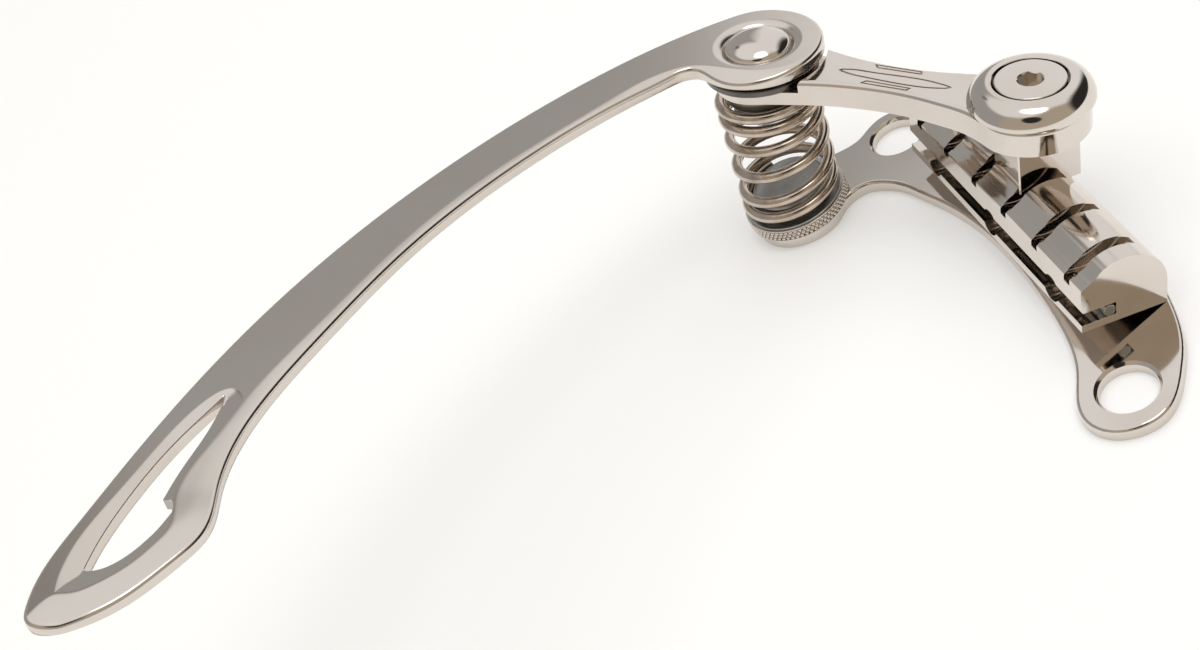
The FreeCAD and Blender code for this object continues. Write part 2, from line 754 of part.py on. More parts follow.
os.makedirs("parts", exist_ok=True)
for name, make in fixed_pieces.items():
    save(name, make())
for name, make in tilting_pieces.items():
    save(name, turn_up(make()))
pivot_at_rest = knife_line + FreeCAD.Rotation(along_bar, rest_tilt_deg).multVec(pivot_place - knife_line)
print("arm pivot passes", [round(v, 3) for v in pivot_at_rest])
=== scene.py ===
import math
import bpy
import bmesh
import numpy as np
from mathutils import Matrix, Vector
from mathutils.geometry import delaunay_2d_cdt


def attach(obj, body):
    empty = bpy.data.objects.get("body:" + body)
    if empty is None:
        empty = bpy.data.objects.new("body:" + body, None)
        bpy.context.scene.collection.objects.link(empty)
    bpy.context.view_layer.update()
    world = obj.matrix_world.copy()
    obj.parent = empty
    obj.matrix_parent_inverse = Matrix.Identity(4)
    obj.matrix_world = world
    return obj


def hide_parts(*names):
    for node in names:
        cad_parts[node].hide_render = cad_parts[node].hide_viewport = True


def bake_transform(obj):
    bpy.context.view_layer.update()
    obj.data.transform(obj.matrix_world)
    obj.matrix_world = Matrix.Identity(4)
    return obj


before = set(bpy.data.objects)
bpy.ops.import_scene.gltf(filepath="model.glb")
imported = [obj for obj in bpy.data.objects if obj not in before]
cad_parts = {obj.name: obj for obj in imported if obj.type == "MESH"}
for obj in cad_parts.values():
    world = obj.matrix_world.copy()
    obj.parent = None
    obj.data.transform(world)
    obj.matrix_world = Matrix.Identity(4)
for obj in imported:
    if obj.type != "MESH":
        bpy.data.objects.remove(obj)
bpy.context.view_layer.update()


print("frame loaded:", len(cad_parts), "nodes")

# Vibrato tailpiece. Everything below is in millimetres until a piece is kept.
# Plan places are level, as the lever group stands at the end of a dive, and atRest turns them up about
# the knife edge.
assembly = {
    "tiltDegrees": 15.1,        # how far the lever group stands up from a full dive
    "knifeX": 13.95,            # the edge that it rocks on
    "knifeZ": 1.9,
    "plateTop": 2.3,
    "knobX": 7.72,
    "footX": -22.6,             # middle of the plate's round foot, under the spring
    "footY": 39.05,
    "leverSpan": 51.1,          # from the knob to the arm's pivot
    "leverDegrees": 128.8,
    "leverBottom": 21.6,
    "leverTop": 26.3,
    "clampHole": 3.03,          # radii of the holes for the two bolts
    "pivotHole": 3.53,
}
millimetre = 0.001
tiny = 1e-6
knifeLine = Vector((assembly["knifeX"], 0, assembly["knifeZ"]))
tiltTurn = Matrix.Rotation(math.radians(assembly["tiltDegrees"]), 4, "Y")
atRest = Matrix.Translation(knifeLine) @ tiltTurn @ Matrix.Translation(-knifeLine)
leverTurn = math.radians(assembly["leverDegrees"])
leverWay = Vector((math.cos(leverTurn), math.sin(leverTurn)))
knobPlace = (assembly["knobX"], 0.0)
pivotPlace = (assembly["knobX"] + leverWay.x * assembly["leverSpan"], leverWay.y * assembly["leverSpan"])
footPlace = (assembly["footX"], assembly["footY"])


# Materials

def linearColour(hexText):
    channels = [int(hexText[i:i + 2], 16) / 255 for i in (1, 3, 5)]
    linear = [c / 12.92 if c <= 0.04045 else ((c + 0.055) / 1.055) ** 2.4 for c in channels]
    return (*linear, 1.0)


# The node tree of a material or a world, emptied
def emptyTree(owner):
    owner.use_nodes = True
    owner.node_tree.nodes.clear()
    return owner.node_tree


# Adds a node, with its input values, its links and its settings
def addNode(tree, kind, values=None, links=None, **settings):
    node = tree.nodes.new(kind)
    for key, value in settings.items():
        setattr(node, key, value)
    for key, value in (values or {}).items():
        node.inputs[key].default_value = value
    for key, source in (links or {}).items():
        tree.links.new(source, node.inputs[key])
    return node


# name: material slot, colour, second colour, least and most roughness, and in mm the size of the grain,
# the size of the clouds, and the height and the size of the waves
finishes = {
    # electroplated nickel over polished steel: a warm mirror with a faint buffing haze
    "platedNickel": ("polished_nickel", "#dcd4cc", "#d5ccc2", (0.075, 0.11), 0.5, 14.0, 0.0012, 6.0),
    # the same plating, brushed a little softer before it was plated
    "satinNickel": ("polished_nickel", "#dad2ca", "#d4cbc1", (0.15, 0.19), 0.35, 20.0, 0.0, 6.0),
    # nickel on a pressed steel plate: a mirror with long shallow waves
    "platedCasting": ("polished_nickel", "#dcd4cc", "#d4cbc1", (0.06, 0.1), 0.4, 14.0, 0.003, 9.0),
    # drawn spring wire under nickel: darker, with marks along the wire
    "platedSpringWire": ("nickel_spring_wire", "#cbbeb1", "#a99a89", (0.09, 0.2), 0.25, 4.0, 0.003, 2.0),
    # hardened and ground tool steel: grey, fine ground lines
    "groundSteel": ("hardened_steel", "#a9a7a3", "#8c8985", (0.22, 0.36), 0.12, 6.0, 0.004, 1.0),
    # turned carbon steel with a thin oil film: cool grey, satin
    "turnedSteel": ("turned_steel", "#bcbdbb", "#a6a6a3", (0.26, 0.36), 0.2, 5.0, 0.001, 0.8),
    # spring steel coloured dark grey as painted shade for the dark gap between the lever and the arm, with a
    # dull sheen of oil
    "paintedShadeSteel": ("turned_steel", "#6b6763", "#55514d", (0.2, 0.32), 0.2, 5.0, 0.001, 0.8),
    # sintered bearing bronze: dull brown gold, pores
    "bearingBronze": ("bushing_bronze", "#b08a4e", "#7f6034", (0.34, 0.5), 0.15, 3.0, 0.01, 0.4),
}
metalLook = {
    "tintFrom": (0.45, 0.75),   # part of the cloud noise over which the colour turns to its shade
    "grainShare": 0.35,         # how much the fine grain adds to the haze
    "hazeFrom": (0.45, 0.95),
    "waveStrength": 0.6,
}


def makeMetal(name, slot, colour, shade, roughness, grainMm, cloudMm, waveMm, waveSizeMm):
    material = bpy.data.materials.new(name)
    tree = emptyTree(material)
    place = addNode(tree, "ShaderNodeTexCoord").outputs["Object"]

    patterns = []
    for sizeMm, detail in ((cloudMm, 3.0), (grainMm, 2.0), (waveSizeMm, 1.0)):
        # the scale is cycles per metre, worked out from the real size of the pattern
        noise = addNode(tree, "ShaderNodeTexNoise", {"Scale": 1 / (sizeMm * millimetre), "Detail": detail},
                        {"Vector": place})
        patterns.append(noise.outputs["Fac"])
    cloud, grain, wave = patterns
    low, high = metalLook["tintFrom"]
    shading = addNode(tree, "ShaderNodeMapRange", {"From Min": low, "From Max": high}, {"Value": cloud})
    tint = addNode(tree, "ShaderNodeMix", {"A": linearColour(colour), "B": linearColour(shade)},
                   {"Factor": shading.outputs["Result"]}, data_type="RGBA")
    haze = addNode(tree, "ShaderNodeMath", {1: metalLook["grainShare"]}, {0: grain, 2: cloud},
                   operation="MULTIPLY_ADD")
    low, high = metalLook["hazeFrom"]
    rough = addNode(tree, "ShaderNodeMapRange", {"From Min": low, "From Max": high,
                                                 "To Min": roughness[0], "To Max": roughness[1]},
                    {"Value": haze.outputs["Value"]})
    bump = addNode(tree, "ShaderNodeBump", {"Strength": metalLook["waveStrength"],
                                            "Distance": waveMm * millimetre}, {"Height": wave})
    shader = addNode(tree, "ShaderNodeBsdfPrincipled", {"Metallic": 1.0},
                     {"Base Color": tint.outputs["Result"], "Roughness": rough.outputs["Result"],
                      "Normal": bump.outputs["Normal"]})
    addNode(tree, "ShaderNodeOutputMaterial", {}, {"Surface": shader.outputs["BSDF"]})
    return material


materials = {name: makeMetal(name, *values) for name, values in finishes.items()}
print("materials made:", len(materials))


# Shapes in plan and profile

# A cubic line through plan points, without a kink
def smoothLine(points, spacing, closed=False):
    spots = np.array(list(points) + list(points[:1]) if closed else list(points), float)
    gaps = np.linalg.norm(np.diff(spots, axis=0), axis=1)
    count = len(gaps)
    size = count if closed else count + 1
    system = np.zeros((size, size))
    pull = np.zeros((size, 2))
    for i in range(size):
        if not closed and i in (0, count):
            system[i, i] = 1
            continue
        earlier = spots[i - 1] if i else spots[count - 1]
        before, after = gaps[i - 1], gaps[i]
        system[i, i - 1] += before / 6
        system[i, i] += (before + after) / 3
        system[i, (i + 1) % size] += after / 6
        pull[i] = (spots[i + 1] - spots[i]) / after - (spots[i] - earlier) / before
    bend = np.linalg.solve(system, pull)
    line = []
    for i in range(count):
        length = gaps[i]
        steps = max(1, math.ceil(length / spacing))
        first, second = bend[i], bend[(i + 1) % size]
        for step in range(steps):
            b = step / steps
            a = 1 - b
            curved = (a ** 3 - a) * first + (b ** 3 - b) * second
            line.append(tuple(a * spots[i] + b * spots[i + 1] + curved * length * length / 6))
    return line if closed else line + [tuple(spots[-1])]


def circleLine(centre, radius, count, start=0.0, sweep=360.0):
    turns = [math.radians(start + sweep * i / count) for i in range(count if sweep == 360 else count + 1)]
    return [(centre[0] + radius * math.cos(t), centre[1] + radius * math.sin(t)) for t in turns]


def signedArea(loop):
    return sum(a[0] * b[1] - b[0] * a[1] for a, b in zip(loop, loop[1:] + loop[:1])) / 2


# The same closed line, anticlockwise
def leftTurning(loop):
    return loop if signedArea(loop) > 0 else loop[::-1]


# Moves a closed anticlockwise line inwards by a short distance
def insetLoop(loop, distance):
    spots = np.array(loop, float)
    after = np.roll(spots, -1, axis=0) - spots
    after /= np.linalg.norm(after, axis=1)[:, None]
    before = np.roll(after, 1, axis=0)
    normal = np.stack([-(after + before)[:, 1], (after + before)[:, 0]], axis=1)
    size = np.linalg.norm(normal, axis=1)
    longest = 1.6    # at a sharp corner, in distances
    reach = distance * np.minimum(2 / np.maximum(size, 0.01), longest)
    return [tuple(p) for p in spots + normal / size[:, None] * reach[:, None]]


# Rounds the corners of a profile: each point is radius, height and how far to round
def softCorners(profile, steps=4):
    line = []
    for i, (radius, height, soft) in enumerate(profile):
        here = np.array((radius, height), float)
        if not soft:
            line.append(tuple(here))
            continue
        start = np.array(profile[i - 1][:2], float) - here
        end = np.array(profile[(i + 1) % len(profile)][:2], float) - here
        start *= min(soft / np.linalg.norm(start), 0.5)
        end *= min(soft / np.linalg.norm(end), 0.5)
        for step in range(steps + 1):
            b = step / steps
            line.append(tuple(here + start * (1 - b) ** 2 + end * b * b))
    return line


# A turned piece: the profile goes round an upright axis through the centre
def turnedMesh(name, profile, centre, steps=96, closed=True):
    shape = bmesh.new()
    rings = []
    for radius, height in profile:
        if radius < tiny:
            rings.append([shape.verts.new((*centre, height))])
        else:
            rings.append([shape.verts.new((x, y, height)) for x, y in circleLine(centre, radius, steps)])
    following = rings[1:] + rings[:1] if closed else rings[1:]
    for low, high in zip(rings, following):
        for i in range(steps):
            corners = [low[i % len(low)], low[(i + 1) % steps % len(low)],
                       high[(i + 1) % steps % len(high)], high[i % len(high)]]
            corners = list(dict.fromkeys(corners))
            if len(corners) > 2:
                shape.faces.new(corners)
    bmesh.ops.recalc_face_normals(shape, faces=shape.faces)
    return meshFrom(shape, name)


# Faces between rings of points, each ring joined to the next
def addBands(shape, rings):
    made = [[shape.verts.new(p) for p in ring] for ring in rings]
    for lower, upper in zip(made, made[1:]):
        for i in range(len(lower)):
            j = (i + 1) % len(lower)
            shape.faces.new((lower[i], lower[j], upper[j], upper[i]))
    return made


# An upright piece on a plan outline, with its top edge rounded
def prismMesh(name, loop, low, high, rimRound=0.0):
    shape = bmesh.new()
    for ring in addBands(shape, [[(x, y, z) for x, y in loop] for z in (low, high)]):
        shape.faces.new(ring)
    bmesh.ops.recalc_face_normals(shape, faces=shape.faces)
    if rimRound:
        rim = [e for e in shape.edges if all(v.co.z > high - tiny for v in e.verts)]
        bmesh.ops.bevel(shape, geom=rim, offset=rimRound, offset_type="OFFSET", segments=6,
                        profile=0.5, affect="EDGES", clamp_overlap=False)
    return meshFrom(shape, name)


def meshFrom(shape, name):
    mesh = bpy.data.meshes.new(name)
    shape.to_mesh(mesh)
    shape.free()
    return mesh


def addObject(name, data):
    added = bpy.data.objects.new(name, data)
    bpy.context.scene.collection.objects.link(added)
    return added


def looseObject(mesh):
    return addObject(mesh.name, mesh)


# The object's mesh with its modifiers worked in. The object itself goes
def finishedMesh(loose):
    bpy.context.view_layer.update()
    graph = bpy.context.evaluated_depsgraph_get()
    mesh = bpy.data.meshes.new_from_object(loose.evaluated_get(graph))
    name = loose.name
    bpy.data.objects.remove(loose)
    mesh.name = name
    return mesh


# A node group with named inputs, its input values and the sockets that set them
def startTree(name, inputs):
    tree = bpy.data.node_groups.new(name, "GeometryNodeTree")
    face = tree.interface
    face.new_socket("Geometry", in_out="INPUT", socket_type="NodeSocketGeometry")
    sockets = {label: face.new_socket(label, in_out="INPUT", socket_type="NodeSocket" + kind).identifier
               for label, kind in (*inputs.items(), ("Finish", "Material"))}
    face.new_socket("Geometry", in_out="OUTPUT", socket_type="NodeSocketGeometry")
    return tree, addNode(tree, "NodeGroupInput").outputs, sockets


def endTree(tree, given, geometry):
    real = addNode(tree, "GeometryNodeRealizeInstances", {}, {"Geometry": geometry})
    dressed = addNode(tree, "GeometryNodeSetMaterial", {},
                      {"Geometry": real.outputs["Geometry"], "Material": given["Finish"]})
    addNode(tree, "NodeGroupOutput", {}, {"Geometry": dressed.outputs["Geometry"]})


# The mesh that a node group makes of a mesh, with the named inputs set
def grownMesh(name, mesh, tree, sockets, finish, values):
    loose = looseObject(mesh)
    loose.name = name
    grow = loose.modifiers.new("grow", "NODES")
    grow.node_group = tree
    for label, value in values.items():
        grow[sockets[label]] = value
    grow[sockets["Finish"]] = materials[finish]
    return finishedMesh(loose)


# Cuts each cutter out of the mesh
def carved(mesh, cutters):
    body = looseObject(mesh)
    tools = [looseObject(cutter) for cutter in cutters]
    for tool in tools:
        cut = body.modifiers.new("cut", "BOOLEAN")
        cut.object = tool
        cut.operation = "DIFFERENCE"
        cut.solver = "EXACT"
    mesh = finishedMesh(body)
    for tool in tools:
        bpy.data.objects.remove(tool)
    return mesh


# Breaks every hard edge by a small width, as polishing does
def softened(mesh, width, sharpDegrees=32):
    body = looseObject(mesh)
    soft = body.modifiers.new("edge", "BEVEL")
    soft.width = width
    soft.segments = 3
    soft.limit_method = "ANGLE"
    soft.angle_limit = math.radians(sharpDegrees)
    soft.use_clamp_overlap = True
    soft.miter_outer = "MITER_ARC"
    return finishedMesh(body)


# Puts a finished mesh in place, shades it and lets it ride on its body
def keepPiece(name, mesh, finish, body, replaced=(), tilted=False, sharpDegrees=40, normals=None):
    mesh.materials.clear()
    mesh.materials.append(materials[finish])
    mesh.shade_smooth()
    mesh.set_sharp_from_angle(angle=math.radians(sharpDegrees))
    if normals:
        mesh.normals_split_custom_set_from_vertices(normals)
    if tilted:
        mesh.transform(atRest)
    mesh.transform(Matrix.Scale(millimetre, 4))
    if not normals:
        piece = looseObject(mesh)
        even = piece.modifiers.new("even", "WEIGHTED_NORMAL")
        even.keep_sharp = True
        even.weight = 80
        mesh = finishedMesh(piece)
    mesh.name = name
    piece = addObject(name, mesh)
    if body:
        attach(piece, body)
    if replaced:
        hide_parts(*replaced)
    return piece


# A merged copy of a CAD node's mesh, in millimetres, with its hard edges broken
def cadCopy(node, edge, weld=0.0005, flatDegrees=0.3):
    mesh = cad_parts[node].data.copy()
    shape = bmesh.new()
    shape.from_mesh(mesh)
    bmesh.ops.scale(shape, vec=(1 / millimetre,) * 3, verts=shape.verts)
    bmesh.ops.remove_doubles(shape, verts=shape.verts, dist=weld)
    bmesh.ops.dissolve_limit(shape, angle_limit=math.radians(flatDegrees), verts=shape.verts,
                             edges=shape.edges)
    shape.to_mesh(mesh)
    shape.free()
    mesh.name = node + "Copy"
    return softened(mesh, edge)


# Arm: a flat blade from a round eye to a leaf-shaped handle with an open window

arm = {
    "low": 26.5,                # level heights of its two faces
    "high": 29.1,
    "eyeRadius": 11.7,
    "edge": 0.8,                # rounding of the upper edge
    "edgeSteps": 5,
    "windowEdge": 0.25,
    "lowerEdge": 0.3,
    "innerSlope": 0.09,         # how steeply the inner bevel falls, from its first ridge
    "outerSlope": 0.09,         # and how much more from its second
    "windowSlope": 0.2,         # fall towards the window on its outer side
    "stripSlope": 0.17,         # fall of the strip between the window and the inner bevel
    "softRidge": 0.25,          # half width of the rounding along each ridge
    "softBevel": 1.1,
    "eyeReach": (14.0, 26.0),   # the bevel is steeper round the eye, up to this far from the pivot
    "eyeSteeper": 1.8,
    "dishOuter": 8.1,           # soft dish round the pivot's head
    "dishInner": 6.25,
    "dishDepth": 0.75,
    "dishPower": 2.2,
    "dishRings": 6,
    "seatStep": 0.05,           # below the dish, for the head to sit on
    "bore": 5.03,
    "roundSteps": 72,
}
# how the points of the arm's upper face are spaced
net = {
    "outline": 0.7,
    "ridge": 0.6,
    "grid": 0.9,
    "rowShare": 0.87,           # rows of a triangular grid lie closer than its points
    "guides": (-0.7, -0.3, 0.3, 0.6, 1.1),     # lines of points beside each ridge
    "valleyGuides": (-0.25, 0.25),
    "guideFromGuide": 0.22,
    "guideFromRim": 0.12,
    "guideFromDish": 0.1,
    "guideSlack": 0.02,
    "gridFromGuides": 0.4,
    "gridFromRim": 0.45,
    "gridFromDish": 0.5,
    "longest": 1.2,
    "weld": 0.002,
}
bladeOutline = [
    (-14.9, 10.4), (-30.0, 6.9), (-60.0, -4.8), (-90.0, -23.0), (-108.0, -38.2), (-122.0, -52.8),
    (-129.6, -61.5), (-135.9, -69.6), (-138.1, -74.6), (-138.4, -77.5), (-136.1, -79.7), (-132.6, -80.5),
    (-125.1, -79.6), (-117.5, -76.0), (-112.6, -72.4), (-109.4, -64.7), (-103.5, -53.7), (-88.0, -38.0),
    (-70.0, -23.3), (-50.0, -11.8), (-30.0, -4.1), (-16.8, -0.75), (-14.1, -0.5), (-12.4, -1.24)]
windowOuter = [(-105.3, -45.0), (-113.0, -50.9), (-122.2, -60.4), (-127.6, -67.7), (-129.7, -71.5)]
windowEnd = [(-129.7, -71.5), (-128.0, -72.4), (-121.8, -71.1), (-116.4, -66.8)]
windowBarb = [(-115.9, -65.2), (-116.2, -64.0)]
windowInner = [(-117.3, -63.2), (-114.0, -58.4), (-109.1, -51.8), (-105.3, -45.0)]
# ridge between the flat top and the bevel along the inner edge, from the eye to the tip
ridgeStart = [
    (9.9, -6.2), (6.0, -9.3), (1.0, -10.0), (-4.2, -7.6), (-8.2, -3.6), (-12.5, 0.0), (-18.0, 0.9),
    (-30.5, -2.3), (-50.5, -9.9), (-70.6, -21.2), (-88.8, -35.8), (-97.0, -42.6)]
ridgeTip = [
    (-117.8, -70.8), (-119.5, -72.1), (-123.2, -74.3), (-127.3, -75.5), (-129.5, -75.8), (-131.5, -75.6),
    (-134.0, -74.7), (-135.8, -75.3), (-138.2, -77.2)]
innerRidge = ridgeStart + [(-101.9, -47.2), (-104.5, -50.2), (-108.5, -54.7), (-112.2, -58.7),
                           (-115.0, -63.3), (-115.7, -66.2), (-116.5, -69.0)] + ridgeTip
# where the bevel turns steeper beside the window
outerRidge = ridgeStart + [(-101.9, -47.9), (-104.6, -51.1), (-108.5, -56.1), (-112.0, -62.0),
                           (-113.4, -65.0), (-115.2, -68.3)] + ridgeTip
# ridge round the hollow that holds the window, from the tail over the upper end to the inner ridge
windowRidge = [
    (-134.0, -74.7), (-133.4, -72.3), (-132.1, -69.2), (-130.2, -66.0), (-127.5, -62.7), (-122.2, -57.3),
    (-116.2, -51.1), (-111.0, -46.5), (-107.5, -44.4), (-105.2, -43.8), (-103.6, -44.3), (-102.8, -45.6),
    (-102.6, -48.0)]


def fromPivot(points):
    return [(pivotPlace[0] + x, pivotPlace[1] + y) for x, y in points]


# Which of the plan points lie inside a closed line
def insideLoop(spots, loop):
    x, y = spots[:, 0], spots[:, 1]
    inside = np.zeros(len(spots), bool)
    for (ax, ay), (bx, by) in zip(loop, loop[1:] + loop[:1]):
        crosses = (ay > y) != (by > y)
        with np.errstate(divide="ignore", invalid="ignore"):
            at = (bx - ax) * (y - ay) / (by - ay) + ax
        inside ^= crosses & (x < at)
    return inside


def distanceTo(spots, line):
    least = np.full(len(spots), np.inf)
    for a, b in zip(line, line[1:]):
        start = np.array(a)
        way = np.array(b) - start
        share = np.clip((spots - start) @ way / max(way @ way, tiny ** 2), 0, 1)
        least = np.minimum(least, np.linalg.norm(spots - start - share[:, None] * way, axis=1))
    return least


# Depth below the flat top, with a soft start at the ridge
def fallFrom(distance, slope, soft):
    return slope * np.where(distance < 2 * soft, distance ** 2 / (4 * soft), distance - soft)


def pivotDistance(spots):
    return np.linalg.norm(np.array(spots) - np.array(pivotPlace), axis=1)


# The one of the line's points that lies nearest to a place
def nearestIndex(line, place):
    return int(np.argmin(np.linalg.norm(np.array(line) - np.array(place), axis=1)))


def armLine(points):
    return smoothLine(fromPivot(points), net["ridge"])


# The eye's round part runs from the blade's outer side to its inner side, in degrees
eyeStart, eyeSweep, eyePoints = 197, 260, 11
eyeOutline = circleLine((0, 0), arm["eyeRadius"], eyePoints, eyeStart, eyeSweep)
armOutline = smoothLine(fromPivot(eyeOutline + bladeOutline), net["outline"], True)
armWindow = (armLine(windowOuter)[:-1] + armLine(windowEnd) + fromPivot(windowBarb)
             + armLine(windowInner)[:-1])
innerRidgeLine, outerRidgeLine, windowRidgeLine = map(armLine, (innerRidge, outerRidge, windowRidge))


# The plan region between a ridge and the arm's inner edge
def bevelRegion(ridge):
    # the outline runs anticlockwise: eye, outer edge, tip, inner edge and back to the eye
    start, stop = nearestIndex(armOutline, ridge[0]), nearestIndex(armOutline, ridge[-1])
    last = start + (len(armOutline) if start < stop else 0) + 1
    return ridge + [armOutline[i % len(armOutline)] for i in range(stop, last)]


innerRegion = bevelRegion(innerRidgeLine)
outerRegion = bevelRegion(outerRidgeLine)
tailIndex, headIndex = [nearestIndex(innerRidgeLine, windowRidgeLine[end]) for end in (0, -1)]
windowRegion = windowRidgeLine + innerRidgeLine[headIndex:tailIndex + 1]


# Depths in the hollow round the window, from its ridge and from the inner ridge
def hollowFalls(spots):
    return (fallFrom(distanceTo(spots, windowRidgeLine), arm["windowSlope"], arm["softRidge"]),
            fallFrom(distanceTo(spots, innerRidgeLine), arm["stripSlope"], arm["softRidge"]))


# The line in the hollow where its two slopes meet, from an end of the window to the hollow's corner
def valleyLine(start, end, count, rounds=30, probe=0.01):
    spots = np.array([np.array(start) + (np.array(end) - start) * k / count for k in range(count + 1)])
    way = (spots[-1] - spots[0]) / np.linalg.norm(spots[-1] - spots[0])
    side = np.array([-way[1], way[0]])
    for _ in range(rounds):
        outer, inner = hollowFalls(spots)
        toRidge = (hollowFalls(spots + side * probe)[0] - outer)[:, None]
        spots = spots - side * np.sign(toRidge) * ((outer - inner) / 2 / arm["windowSlope"])[:, None]
    return [tuple(p) for p in spots]


tailValley = valleyLine(fromPivot(windowOuter)[-1], windowRidgeLine[0], 6)


# Height of the arm's upper face over plan points
def armTop(spots):
    spots = np.array(spots, float)
    height = np.full(len(spots), arm["high"])
    radius = pivotDistance(spots)
    near, far = arm["eyeReach"]
    steeper = 1 + arm["eyeSteeper"] * np.clip((far - radius) / (far - near), 0, 1)
    falls = ((innerRegion, innerRidgeLine, arm["innerSlope"], arm["softRidge"]),
             (outerRegion, outerRidgeLine, arm["outerSlope"], arm["softBevel"]))
    for region, line, slope, soft in falls:
        inner = insideLoop(spots, region)
        height -= np.where(inner, steeper * fallFrom(distanceTo(spots, line), slope, soft), 0)
    height -= np.where(insideLoop(spots, windowRegion), np.minimum(*hollowFalls(spots)), 0)
    share = np.clip((arm["dishOuter"] - radius) / (arm["dishOuter"] - arm["dishInner"]), 0, 1)
    return height - arm["dishDepth"] * share ** arm["dishPower"]


# The line moved sideways, to its left
def besideLine(line, distance):
    spots = np.array(line)
    way = np.gradient(spots, axis=0)
    way /= np.linalg.norm(way, axis=1)[:, None]
    return [tuple(p) for p in spots + distance * np.stack([-way[:, 1], way[:, 0]], axis=1)]


# Normals of the arm's upper face from its own heights. Other corners are left to the mesh
def armNormals(mesh, probe=0.05, near=1e-4):
    spots = np.array([tuple(v.co) for v in mesh.vertices])
    plan = spots[:, :2]
    across, along = [(armTop(plan + way) - armTop(plan - way)) / (2 * probe) for way in np.eye(2) * probe]
    normals = np.stack([-across, -along, np.ones(len(plan))], axis=1)
    normals /= np.linalg.norm(normals, axis=1)[:, None]
    onTop = np.abs(spots[:, 2] - armTop(plan)) < near
    onTop &= pivotDistance(plan) > arm["dishInner"] + probe
    normals[~onTop] = 0
    return [tuple(n) for n in normals]


# A closed line's points and edges, for a plan that is filled with faces later
def addLoop(spots, edges, line):
    first = len(spots)
    spots += line
    edges += [(first + i, first + (i + 1) % len(line)) for i in range(len(line))]


# Fills the plan inside the first loop and outside the others, at heights worked out from plan points
def fillPlan(shape, spots, edges, loops, heights):
    made = delaunay_2d_cdt([Vector(p) for p in spots], edges, [], 0, 1e-4)
    flat = np.array([tuple(p) for p in made[0]])
    middles = np.array([flat[list(face)].mean(axis=0) for face in made[2]])
    wanted = insideLoop(middles, loops[0])
    for hole in loops[1:]:
        wanted &= ~insideLoop(middles, hole)
    verts = [shape.verts.new((x, y, z)) for (x, y), z in zip(flat, heights(flat))]
    for face, ok in zip(made[2], wanted):
        if ok:
            shape.faces.new([verts[i] for i in face])


def dropLoose(shape):
    bmesh.ops.delete(shape, geom=[v for v in shape.verts if not v.link_faces], context="VERTS")
    bmesh.ops.remove_doubles(shape, verts=shape.verts, dist=net["weld"])


# Rings from the top's rim over the rounded edge and down the wall
def addSkirt(shape, loop, edge, topLoop):
    heights = armTop(topLoop)
    rings = []
    for k in range(arm["edgeSteps"] + 1):
        turn = math.pi / 2 * k / arm["edgeSteps"]
        ring = insetLoop(loop, edge * (1 - math.sin(turn))) if k else topLoop
        rings.append([(x, y, z - edge * (1 - math.cos(turn))) for (x, y), z in zip(ring, heights)])
    rings.append([(x, y, arm["low"] + arm["lowerEdge"]) for x, y in loop])
    rings.append([(x, y, arm["low"]) for x, y in insetLoop(loop, arm["lowerEdge"])])
    addBands(shape, rings)


# The step that the pivot's head sits on, and the bore below it
def addBore(shape):
    seat = arm["high"] - arm["dishDepth"]
    step = seat - arm["seatStep"]
    wide, narrow = [circleLine(pivotPlace, arm[size], arm["roundSteps"]) for size in ("dishInner", "bore")]
    rings = ((wide, seat), (wide, step), (narrow, step), (narrow, arm["low"]))
    addBands(shape, [[(x, y, z) for x, y in ring] for ring, z in rings])


